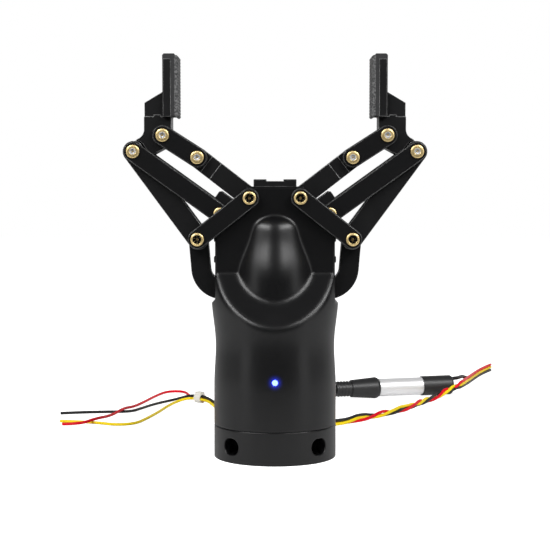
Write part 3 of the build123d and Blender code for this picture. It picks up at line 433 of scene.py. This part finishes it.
node_finishes = {
    "body": ["housing", "mounting_flange"],
    "anodised": ["top_cover", "link_anchors"],
    "plate": ["crosshead", "crosshead_pins"],
    "small_screw": [
        "flange_screws", "top_cover_screws", "head_side_screws",
        "lead_screw", "upper_bearing", "lower_bearing",
    ],
    "brass": ["drive_nut"],
    "motor": ["motor", "gearhead"],
    "board": ["drive_board"],
    "jacket": ["cable_grommet"],
    "plug": ["cable_plug", "cable_socket"],
    "sleeve": ["coupling_sleeve"],
    "tie": ["cable_tie"],
    "light": ["status_light"],
}
side_finishes = {
    "anodised": ["upper_link", "outer_link", "finger_base", "fingertip"],
    "plate": ["knuckle_plates", "lower_link_plates", "crank_plates", "crank_spacers", "push_rod"],
    "brass": ["knuckle_screws", "lower_link_screws", "crank_screws"],
    "small_screw": ["fingertip_screw"],
    "rubber": ["finger_pad"],
}


class OBJECT_OT_gripper_finishes(bpy.types.Operator):
    """Give every solid of the gripper its finish"""

    bl_idname = "object.gripper_finishes"
    bl_label = "Finishes"

    def execute(self, context):
        materials.update(make_materials(context.scene.gripper_finishes))
        for finish, names in node_finishes.items():
            for name in names:
                set_finish(nodes[name], finish)
        for finish, names in side_finishes.items():
            for name in names:
                for side in ("right_", "left_"):
                    set_finish(nodes[side + name], finish)
        return {"FINISHED"}


def set_finish(obj, finish):
    """Give an object this finish and no other."""
    obj.data.materials.clear()
    obj.data.materials.append(materials[finish])


def link_piece(name, data):
    """Object with this data, in the scene."""
    obj = bpy.data.objects.new(name, data)
    bpy.context.scene.collection.objects.link(obj)
    return obj


def mesh_piece(name, vertices, faces, finish):
    """Mesh object with one finish."""
    mesh = bpy.data.meshes.new(name)
    mesh.from_pydata(vertices, [], faces)
    mesh.update()
    obj = link_piece(name, mesh)
    set_finish(obj, finish)
    return obj


# Leads

wire_radius = 0.85 * MM

# Piece, route, radius, finish, the solid it stands in for, slot, length in metres, far end, stiffness, and
# the pieces it runs through
plain_leads = [
    ("main_cable_run", main_cable_points, 3.0 * MM, "jacket", "main_cable", "cable_black", 0.2018,
     "connector", "medium", ["cable_plug", "coupling_sleeve", "cable_socket"]),
    ("red_wire_run", red_points, wire_radius, "red", "left_lead_red", "wire_red", 0.3754,
     "bare", "limp", []),
    ("black_wire_run", black_points, wire_radius, "jacket", "left_lead_black", "cable_black", 0.2803,
     "bare", "limp", []),
    ("yellow_wire_run", yellow_points, wire_radius, "yellow", "left_lead_yellow", "wire_yellow", 0.3159,
     "bare", "limp", ["cable_tie"]),
    ("tail_wire_run", tail_points, 1.2 * MM, "jacket", "tail_lead", "cable_black", 0.1434,
     "bare", "limp", []),
]

# Hidden start of the twisted lead: its rows, how far the wires lie from its middle and the step between
# rows, in millimetres, and the turn between rows, in degrees
hidden_rows = 9
wound_radius = 1.1
wound_step = 8.4
wound_turn = 45


def route_curve(name, points):
    """Smooth spline with these control points, given in millimetres."""
    curve = bpy.data.curves.new(name, "CURVE")
    curve.dimensions = "3D"
    curve.resolution_u = 16
    spline = curve.splines.new("NURBS")
    spline.points.add(len(points) - 1)
    for point, place in zip(spline.points, points):
        point.co = (*(Vector(place) * MM), 1)
    spline.order_u = 3
    spline.use_endpoint_u = True
    return curve


def lead_curve(name, points, radius, finish):
    """Round lead on one smooth spline."""
    curve = route_curve(name, points)
    curve.bevel_depth = radius
    curve.bevel_resolution = 5
    curve.use_fill_caps = True
    obj = link_piece(name, curve)
    set_finish(obj, finish)
    return obj


def read_route(points):
    """Points along the smooth spline of a route, in metres."""
    holder = link_piece("route", route_curve("route", points))
    graph = bpy.context.evaluated_depsgraph_get()
    mesh = bpy.data.meshes.new_from_object(holder.evaluated_get(graph))
    line = [vertex.co.copy() for vertex in mesh.vertices]
    bpy.data.objects.remove(holder)
    bpy.data.meshes.remove(mesh)
    return line


def level_sides(line):
    """Level side and rise directions along a line that never stands upright."""
    sides = []
    for index in range(len(line)):
        ahead = line[min(index + 1, len(line) - 1)] - line[max(index - 1, 0)]
        side = ahead.cross(Vector((0, 0, 1))).normalized()
        sides.append((side, side.cross(ahead).normalized()))
    return sides


def smooth_between(rows, place, strand):
    """Offset of a strand at a distance along the lead, eased through the rows around it."""
    after = 1
    while after < len(rows) - 1 and rows[after][0] < place:
        after += 1
    near = [rows[min(max(index, 0), len(rows) - 1)] for index in range(after - 2, after + 2)]
    span = near[2][0] - near[1][0]
    t = min(max((place - near[1][0]) / span, 0), 1)
    a, b, c, d = (Vector(row[1 + strand]) for row in near)
    square, cube = a * 2 - b * 5 + c * 4 - d, b * 3 - a - c * 3 + d
    return (b * 2 + (c - a) * t + square * t ** 2 + cube * t ** 3) / 2


def twist_rows():
    """Rows of the hidden first stretch, wound evenly, followed by the rows that are seen."""
    first = seen_twist[0][0]
    rows = []
    for step in range(hidden_rows, 0, -1):
        row = [first - wound_step * step]
        for start in (0, -120, 120):
            turn = math.radians(wound_turn * step + start)
            row.append((wound_radius * math.cos(turn), wound_radius * math.sin(turn)))
        rows.append(row)
    return rows + seen_twist


def strand_mesh(name, line, radius, finishes, around=12):
    """Three wires wound loosely round a route, one finish for each."""
    sides = level_sides(line)
    rows = twist_rows()
    vertices, faces, slots = [], [], []
    for strand in range(len(finishes)):
        travelled = 0.0
        centres = []
        for index, (point, (side, rise)) in enumerate(zip(line, sides)):
            if index:
                travelled += (point - line[index - 1]).length
            back, up = smooth_between(rows, travelled / MM, strand)
            centre = point - side * (back * MM) + rise * (up * MM)
            centre.z = max(centre.z, radius)
            centres.append(centre)
        first = len(vertices)
        for centre, (side, rise) in zip(centres, level_sides(centres)):
            for step in range(around):
                angle = math.tau * step / around
                wide, high = radius * math.cos(angle), radius * math.sin(angle)
                vertices.append(centre + side * wide + rise * high)
        for index in range(len(centres) - 1):
            for step in range(around):
                a = first + index * around + step
                b = first + index * around + (step + 1) % around
                faces.append((a, a + around, b + around, b))
                slots.append(strand)
        faces.append(tuple(first + step for step in range(around)))
        last = first + (len(centres) - 1) * around
        faces.append(tuple(last + step for step in reversed(range(around))))
        slots += [strand, strand]
    mesh = bpy.data.meshes.new(name)
    mesh.from_pydata(vertices, [], faces)
    for finish in finishes:
        mesh.materials.append(materials[finish])
    for polygon, slot in zip(mesh.polygons, slots):
        polygon.material_index = slot
        polygon.use_smooth = len(polygon.vertices) == 4
    face_outward(mesh)
    return link_piece(name, mesh)


def face_outward(mesh):
    """Turn every face of a closed mesh to the outside."""
    shape = bmesh.new()
    shape.from_mesh(mesh)
    bmesh.ops.recalc_face_normals(shape, faces=shape.faces)
    shape.to_mesh(mesh)
    shape.free()


class OBJECT_OT_gripper_leads(bpy.types.Operator):
    """Lay the main cable, the thin leads, the twisted lead and the connector's tail"""

    bl_idname = "object.gripper_leads"
    bl_label = "Leads"

    def execute(self, context):
        strand_radius = context.scene.gripper_sizes.strand_radius
        for name, points, radius, finish, node, slot, length, far_end, stiffness, along in plain_leads:
            lead = lead_curve(name, points, radius, finish)
            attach(lead, "base")
            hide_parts(node)
        line = read_route(twisted_points)
        twisted = strand_mesh("twisted_lead", line, strand_radius, ["red", "yellow", "jacket"])
        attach(twisted, "base")
        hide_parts("right_lead")
        return {"FINISHED"}


# Pivot screws


def lathe_faces(count, around, closed=False):
    """Faces of a profile with this many points, turned round its axis in steps."""
    faces = []
    for step in range(around):
        here, ahead = step * count, (step + 1) % around * count
        for index in range(count if closed else count - 1):
            after = (index + 1) % count
            faces.append((here + index, ahead + index, ahead + after, here + after))
    return faces


def turned_profile(profile, around=40):
    """Surface turned about Z from (radius, height) pairs in millimetres."""
    vertices = []
    for step in range(around):
        angle = math.tau * step / around
        for radius, height in profile:
            vertices.append(Vector((radius * math.cos(angle), radius * math.sin(angle), height)) * MM)
    return vertices, lathe_faces(len(profile), around)


def hex_cup(rim_radius, rim_height, flat_half, depth, around=36):
    """Round rim with a hexagonal socket sunk in it, and a drilled cone in its floor, in millimetres."""
    floor_height = rim_height - depth
    rim = [(rim_radius, rim_height - 0.05), (rim_radius - 0.06, rim_height)]
    rows = []
    for radius, height in [*rim, (0, rim_height)]:
        row = []
        for step in range(around):
            angle = math.tau * step / around
            to_flat = angle % (math.pi / 3) - math.pi / 6
            reach = radius or flat_half / math.cos(to_flat)
            row.append((reach * math.cos(angle), reach * math.sin(angle), height))
        rows.append(row)
    for share in (1, 0.55):
        rows.append([(x * share, y * share, floor_height) for x, y, z in rows[2]])
    vertices = [Vector(point) * MM for row in rows for point in row]
    vertices.append(Vector((0, 0, floor_height - flat_half * 0.25)) * MM)
    last = (len(rows) - 1) * around
    faces = []
    for here in range(0, last, around):
        below = here + around
        for step in range(around):
            ahead = (step + 1) % around
            faces.append((here + step, here + ahead, below + ahead, below + step))
    for step in range(around):
        faces.append((last + step, last + (step + 1) % around, len(vertices) - 1))
    return vertices, faces


def spreading_tree(name, **sockets):
    """Tree that puts a shape on points and gives it a finish, with its first and its spreading node."""
    tree = bpy.data.node_groups.new(name, "GeometryNodeTree")
    for socket, kind in {"Geometry": "Geometry", "Finish": "Material", **sockets}.items():
        tree.interface.new_socket(socket, in_out="INPUT", socket_type="NodeSocket" + kind)
    tree.interface.new_socket("Geometry", in_out="OUTPUT", socket_type="NodeSocketGeometry")
    source = tree.nodes.new("NodeGroupInput")
    spread = tree.nodes.new("GeometryNodeInstanceOnPoints")
    realize = tree.nodes.new("GeometryNodeRealizeInstances")
    paint = tree.nodes.new("GeometryNodeSetMaterial")
    result = tree.nodes.new("NodeGroupOutput")
    tree.links.new(spread.outputs["Instances"], realize.inputs["Geometry"])
    tree.links.new(realize.outputs["Geometry"], paint.inputs["Geometry"])
    tree.links.new(source.outputs["Finish"], paint.inputs["Material"])
    tree.links.new(paint.outputs["Geometry"], result.inputs["Geometry"])
    return tree, source, spread


def repeat_tree():
    """Put one shape on every point, turned by the point's own turn."""
    tree, source, spread = spreading_tree("repeat_on_points", Shape="Object")
    shape = tree.nodes.new("GeometryNodeObjectInfo")
    turn = add_node(tree, "GeometryNodeInputNamedAttribute", Name="turn")
    turn.data_type = "FLOAT_VECTOR"
    tree.links.new(source.outputs["Shape"], shape.inputs["Object"])
    tree.links.new(source.outputs["Geometry"], spread.inputs["Points"])
    tree.links.new(shape.outputs["Geometry"], spread.inputs["Instance"])
    tree.links.new(turn.outputs["Attribute"], spread.inputs["Rotation"])
    return tree


def grown_mesh(name, tree, values, start_mesh=None):
    """Plain mesh that a node tree makes with these named inputs."""
    holder = link_piece(name + "_holder", start_mesh or bpy.data.meshes.new(name + "_holder"))
    modifier = holder.modifiers.new("grow", "NODES")
    modifier.node_group = tree
    for item in tree.interface.items_tree:
        if item.item_type == "SOCKET" and item.in_out == "INPUT" and item.name in values:
            modifier[item.identifier] = values[item.name]
    graph = bpy.context.evaluated_depsgraph_get()
    mesh = bpy.data.meshes.new_from_object(holder.evaluated_get(graph))
    mesh.name = name
    bpy.data.objects.remove(holder)
    return mesh


def repeated_piece(name, tree, shape, places, finish):
    """One plain mesh with the shape at every (point, turn) place."""
    vertices, faces = shape
    pattern = bpy.data.meshes.new("pattern")
    pattern.from_pydata(vertices, [], faces)
    for polygon in pattern.polygons:
        polygon.use_smooth = True
    pattern.set_sharp_from_angle(angle=math.radians(35))
    holder = link_piece("pattern", pattern)
    points = bpy.data.meshes.new("points")
    points.from_pydata([place for place, turn in places], [], [])
    turns = points.attributes.new("turn", "FLOAT_VECTOR", "POINT")
    for item, (place, turn) in zip(turns.data, places):
        item.vector = turn
    mesh = grown_mesh(name, tree, {"Shape": holder, "Finish": materials[finish]}, points)
    bpy.data.objects.remove(holder)
    return link_piece(name, mesh)


# X and Z of each moving body's pivot centres on the right side, and how far from the middle plane the screw
# heads sit, in millimetres
pivots = {
    "crank": [(12.9, 133.75), (39.292, 112.794)],
    "arm": [(56.996, 165.436), (39.463, 154.192)],
    "follower_link": [(71.996, 157.236), (27.9, 125.55)],
}
crank_seat = 15.3
link_seat = 11.0

# Profiles of the screw heads, as radius and height in millimetres
crank_ring = [
    (3.42, 0), (3.42, 0.62), (3.32, 0.86), (3.08, 1.04),
    (2.75, 1.15), (2.45, 1.16), (2.32, 1.08), (2.3, 0.98),
]
link_ring = [
    (3.42, 0), (3.42, 0.64), (3.3, 0.88), (3.08, 1.04),
    (2.5, 1.12), (1.78, 1.13), (1.68, 1.06), (1.66, 0.98),
]

# Turn of a side's first screw socket and what each next one adds, in radians
socket_turn = 0.35
socket_step = 0.8


class OBJECT_OT_gripper_screws(bpy.types.Operator):
    """Turn the brass heads of the pivot screws and sink their sockets"""

    bl_idname = "object.gripper_screws"
    bl_label = "Pivot screws"

    def execute(self, context):
        tree = repeat_tree()
        crank_cup = hex_cup(rim_radius=2.34, rim_height=1.05, flat_half=1.53, depth=1.9)
        link_cup = hex_cup(rim_radius=1.70, rim_height=1.06, flat_half=1.20, depth=0.8)
        for side, sign in (("right", 1), ("left", -1)):
            for body, centres in pivots.items():
                if body == "crank":
                    # Deep crank sockets get the dark lining that paints their shade
                    seat, ring, cup, finish = crank_seat, crank_ring, crank_cup, "painted_shade_socket"
                else:
                    seat, ring, cup, finish = link_seat, link_ring, link_cup, "bright_socket"
                places = []
                for number, (x, z) in enumerate(centres):
                    spin = Matrix.Rotation(socket_turn + socket_step * number * sign, 3, "Z")
                    for facing in (-1, 1):
                        tilt = Matrix.Rotation(-facing * math.pi / 2, 3, "X")
                        places.append((Vector((sign * x, facing * seat, z)) * MM, (tilt @ spin).to_euler()))
                heads = repeated_piece(f"{side}_{body}_heads", tree, turned_profile(ring), places, "brass")
                sockets = repeated_piece(f"{side}_{body}_sockets", tree, cup, places, finish)
                for piece in (heads, sockets):
                    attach(piece, f"{side}_{body}")
        return {"FINISHED"}


# Grip pads

# How much narrower and shorter the grip's grid is than the pad, how far it sits below the pad's middle, and
# how deep the feet of the pips lie in the pad
grip_less_width = 1.2 * MM
grip_less_height = 2.6 * MM
grip_drop = 0.4 * MM
pip_sink = 0.05 * MM


def grip_tree(pitch, height):
    """Rows of round pips over a flat grip face."""
    tree, source, spread = spreading_tree("grip_pips", Width="Float", Height="Float")
    grid = tree.nodes.new("GeometryNodeMeshGrid")
    for axis, size_name in (("X", "Width"), ("Y", "Height")):
        size = source.outputs[size_name]
        tree.links.new(size, grid.inputs["Size " + axis])
        tree.links.new(calculate(tree, "DIVIDE", size, pitch), grid.inputs["Vertices " + axis])
    pip = add_node(
        tree, "GeometryNodeMeshCone",
        Vertices=10, Radius_Top=pitch * 0.22, Radius_Bottom=pitch * 0.40, Depth=height,
    )
    tree.links.new(grid.outputs["Mesh"], spread.inputs["Points"])
    tree.links.new(pip.outputs["Mesh"], spread.inputs["Instance"])
    return tree


class OBJECT_OT_gripper_pads(bpy.types.Operator):
    """Cover the grip faces of both pads with pips"""

    bl_idname = "object.gripper_pads"
    bl_label = "Grip pads"

    def execute(self, context):
        sizes = context.scene.gripper_sizes
        tree = grip_tree(sizes.grip_pitch, sizes.grip_height)
        for side, sign in (("right", 1), ("left", -1)):
            low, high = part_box(side + "_finger_pad")
            face_x = low.x if sign > 0 else high.x
            values = {
                "Width": high.y - low.y - grip_less_width,
                "Height": high.z - low.z - grip_less_height,
                "Finish": materials["rubber"],
            }
            mesh = grown_mesh(side + "_grip_pips", tree, values)
            centre = Vector((face_x + sign * pip_sink, 0, (low.z + high.z) / 2 - grip_drop))
            turn = Matrix(((0, 0, -sign), (1, 0, 0), (0, 1, 0))).to_4x4()
            mesh.transform(Matrix.Translation(centre) @ turn)
            if turn.determinant() < 0:
                mesh.flip_normals()
            pips = link_piece(side + "_grip_pips", mesh)
            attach(pips, side + "_finger")
        return {"FINISHED"}


# Connector

# Where the connector's axis starts and how high it lies, in millimetres, and its turn from the X axis
connector_start = (39.5, 193.6)
connector_height = 7.0
connector_turn = math.radians(15.83)

# Ribs on the cable plug: how many, where the first one starts, and the profile as distance and radius, in
# millimetres
rib_count = 4
first_rib = 1.2
rib_profile = [(0, 4.6), (0.2, 5.05), (1.0, 5.05), (1.2, 4.6)]


def connector_place(distance):
    """Point on the connector's axis, in metres."""
    x = connector_start[0] + distance * math.cos(connector_turn)
    y = connector_start[1] + distance * math.sin(connector_turn)
    return Vector((x, y, connector_height)) * MM


def turned_ring(name, profile, finish, around=40):
    """Closed ring turned round the connector's axis, from (distance, radius) pairs in millimetres."""
    side = Vector((-math.sin(connector_turn), math.cos(connector_turn), 0))
    rise = Vector((0, 0, 1))
    vertices = []
    for step in range(around):
        angle = math.tau * step / around
        outward = side * math.cos(angle) + rise * math.sin(angle)
        for distance, radius in profile:
            vertices.append(connector_place(distance) + outward * radius * MM)
    obj = mesh_piece(name, vertices, lathe_faces(len(profile), around, closed=True), finish)
    face_outward(obj.data)
    for polygon in obj.data.polygons:
        polygon.use_smooth = False
    return obj


class OBJECT_OT_gripper_connector(bpy.types.Operator):
    """Add the ribs of the cable plug"""

    bl_idname = "object.gripper_connector"
    bl_label = "Connector ribs"

    def execute(self, context):
        pitch = context.scene.gripper_sizes.rib_pitch / MM
        for index in range(rib_count):
            start = first_rib + index * pitch
            profile = [(start + distance, radius) for distance, radius in rib_profile]
            rib = turned_ring(f"plug_rib_{index + 1}", profile, "plug")
            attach(rib, "base")
        return {"FINISHED"}


# Studio

# Place of the right-hand lamps and their widths and heights; the left-hand ones mirror them, in metres
side_lamp = ((0.76, -0.70, 0.92), (1.0, 0.3))
side_panel = ((1.04, -0.68, 0.20), (0.40, 0.8))
lamp_target = Vector((0, 0, 0.1))

# Edges of the floor in metres, and how strongly it glows to the camera
floor_side = 3
floor_front = -0.24
floor_back = 3
floor_glow = 0.93

# Lens for the photograph's scale, and the tilt down that brings the horizon 92 pixels above the middle at a
# focal length of 1456 pixels
camera_lens = 95.3
camera_tilt = math.atan(92 / 1456)


class OBJECT_OT_gripper_stage(bpy.types.Operator):
    """Set up the floor, the backdrop, the lamps and the camera"""

    bl_idname = "object.gripper_stage"
    bl_label = "Studio"

    def execute(self, context):
        studio = context.scene.gripper_studio
        floor_white("studio_floor")
        for sign in (-1, 1):
            place_lamp("side_lamp", sign, side_lamp, studio.lamp_power)
            place_lamp("side_panel", sign, side_panel, studio.panel_power)
        set_world(context.scene, studio.front_level)
        set_camera(context.scene, studio)
        return {"FINISHED"}


def place_lamp(name, sign, place_and_size, power):
    """Soft rectangular lamp on one side, aimed at the gripper's middle."""
    (x, y, z), (width, height) = place_and_size
    lamp = bpy.data.lights.new(name, "AREA")
    lamp.shape = "RECTANGLE"
    lamp.size, lamp.size_y = width, height
    lamp.energy = power
    holder = link_piece(name, lamp)
    holder.location = (sign * x, y, z)
    holder.rotation_euler = (lamp_target - holder.location).to_track_quat("-Z", "Y").to_euler()


def camera_sees(tree, seen, otherwise):
    """One shader for the camera's own rays and another for all the rest."""
    path = tree.nodes.new("ShaderNodeLightPath")
    choose = tree.nodes.new("ShaderNodeMixShader")
    tree.links.new(path.outputs["Is Camera Ray"], choose.inputs["Fac"])
    tree.links.new(otherwise, choose.inputs[1])
    tree.links.new(seen, choose.inputs[2])
    return choose.outputs[0]


def floor_white(name):
    """White floor that glows to the camera alone, so that it looks white and still takes the shadow."""
    mesh = bpy.data.meshes.new(name)
    corners = [
        (-floor_side, floor_front, 0), (floor_side, floor_front, 0),
        (floor_side, floor_back, 0), (-floor_side, floor_back, 0),
    ]
    mesh.from_pydata(corners, [], [(0, 1, 2, 3)])
    obj = link_piece(name, mesh)
    material = bpy.data.materials.new(name)
    material.use_nodes = True
    tree = material.node_tree
    tree.nodes.clear()
    out = tree.nodes.new("ShaderNodeOutputMaterial")
    diffuse = add_node(tree, "ShaderNodeBsdfDiffuse", Color=(0.8, 0.8, 0.8, 1))
    glow = add_node(tree, "ShaderNodeEmission", Strength=floor_glow)
    both = tree.nodes.new("ShaderNodeAddShader")
    tree.links.new(diffuse.outputs[0], both.inputs[0])
    tree.links.new(glow.outputs[0], both.inputs[1])
    tree.links.new(camera_sees(tree, both.outputs[0], diffuse.outputs[0]), out.inputs["Surface"])
    mesh.materials.append(material)


def set_world(scene, front_level):
    """White studio behind the gripper, dark behind the camera; the camera itself sees white all round."""
    world = bpy.data.worlds.new("studio_world")
    scene.world = world
    world.use_nodes = True
    tree = world.node_tree
    tree.nodes.clear()
    out = tree.nodes.new("ShaderNodeOutputWorld")
    around = add_node(tree, "ShaderNodeBackground", Color=(1, 1, 1, 1))
    white = add_node(tree, "ShaderNodeBackground", Color=(1, 1, 1, 1), Strength=1.0)
    direction = tree.nodes.new("ShaderNodeTexCoord")
    split = tree.nodes.new("ShaderNodeSeparateXYZ")
    tree.links.new(direction.outputs["Generated"], split.inputs[0])
    across = ramp(tree, split.outputs["X"], -0.5, 0.5, 0.35, 1.0)
    depth = ramp(tree, split.outputs["Y"], 0.10, 0.95, front_level, 1.0, "SMOOTHSTEP")
    height = ramp(tree, split.outputs["Z"], 0.25, 0.75, 1.0, 0.25, "SMOOTHSTEP")
    level = calculate(tree, "MULTIPLY", calculate(tree, "MULTIPLY", depth, height), across)
    tree.links.new(level, around.inputs["Strength"])
    tree.links.new(camera_sees(tree, white.outputs[0], around.outputs[0]), out.inputs["Surface"])


def set_camera(scene, studio):
    """Camera in front of the gripper, at the photograph's height and distance."""
    camera = bpy.data.cameras.new("photo_camera")
    camera.sensor_width = 36
    camera.lens = camera_lens
    camera.clip_start = 0.05
    holder = link_piece("photo_camera", camera)
    azimuth = studio.camera_azimuth
    ahead = Vector((-math.sin(azimuth), math.cos(azimuth), 0))
    holder.location = -ahead * studio.camera_distance + Vector((0, 0, studio.camera_height))
    holder.rotation_euler = (math.pi / 2 - camera_tilt, 0, azimuth)
    scene.camera = holder
    scene.view_settings.view_transform = "Standard"


class VIEW3D_PT_gripper(bpy.types.Panel):
    """Pieces of the gripper"""

    bl_label = "Gripper"
    bl_idname = "VIEW3D_PT_gripper"
    bl_space_type = "VIEW_3D"
    bl_region_type = "UI"
    bl_category = "Gripper"

    def draw(self, context):
        for name in groups:
            settings = getattr(context.scene, name)
            for key in settings.__annotations__:
                self.layout.prop(settings, key)
        for operator in operators:
            self.layout.operator(operator.bl_idname)


operators = (
    OBJECT_OT_gripper_finishes,
    OBJECT_OT_gripper_leads,
    OBJECT_OT_gripper_screws,
    OBJECT_OT_gripper_pads,
    OBJECT_OT_gripper_connector,
    OBJECT_OT_gripper_stage,
)
groups = {
    "gripper_finishes": GripperFinishes,
    "gripper_sizes": GripperSizes,
    "gripper_studio": GripperStudio,
}


def register():
    for group in groups.values():
        bpy.utils.register_class(group)
    for operator in operators:
        bpy.utils.register_class(operator)
    bpy.utils.register_class(VIEW3D_PT_gripper)
    for name, group in groups.items():
        setattr(bpy.types.Scene, name, bpy.props.PointerProperty(type=group))


def unregister():
    for name in groups:
        delattr(bpy.types.Scene, name)
    bpy.utils.unregister_class(VIEW3D_PT_gripper)
    for operator in reversed(operators):
        bpy.utils.unregister_class(operator)
    for group in reversed(list(groups.values())):
        bpy.utils.unregister_class(group)


def main():
    register()
    bpy.ops.object.gripper_finishes()
    bpy.ops.object.gripper_leads()
    bpy.ops.object.gripper_screws()
    bpy.ops.object.gripper_pads()
    bpy.ops.object.gripper_connector()
    bpy.ops.object.gripper_stage()


if __name__ == "__main__":
    main()
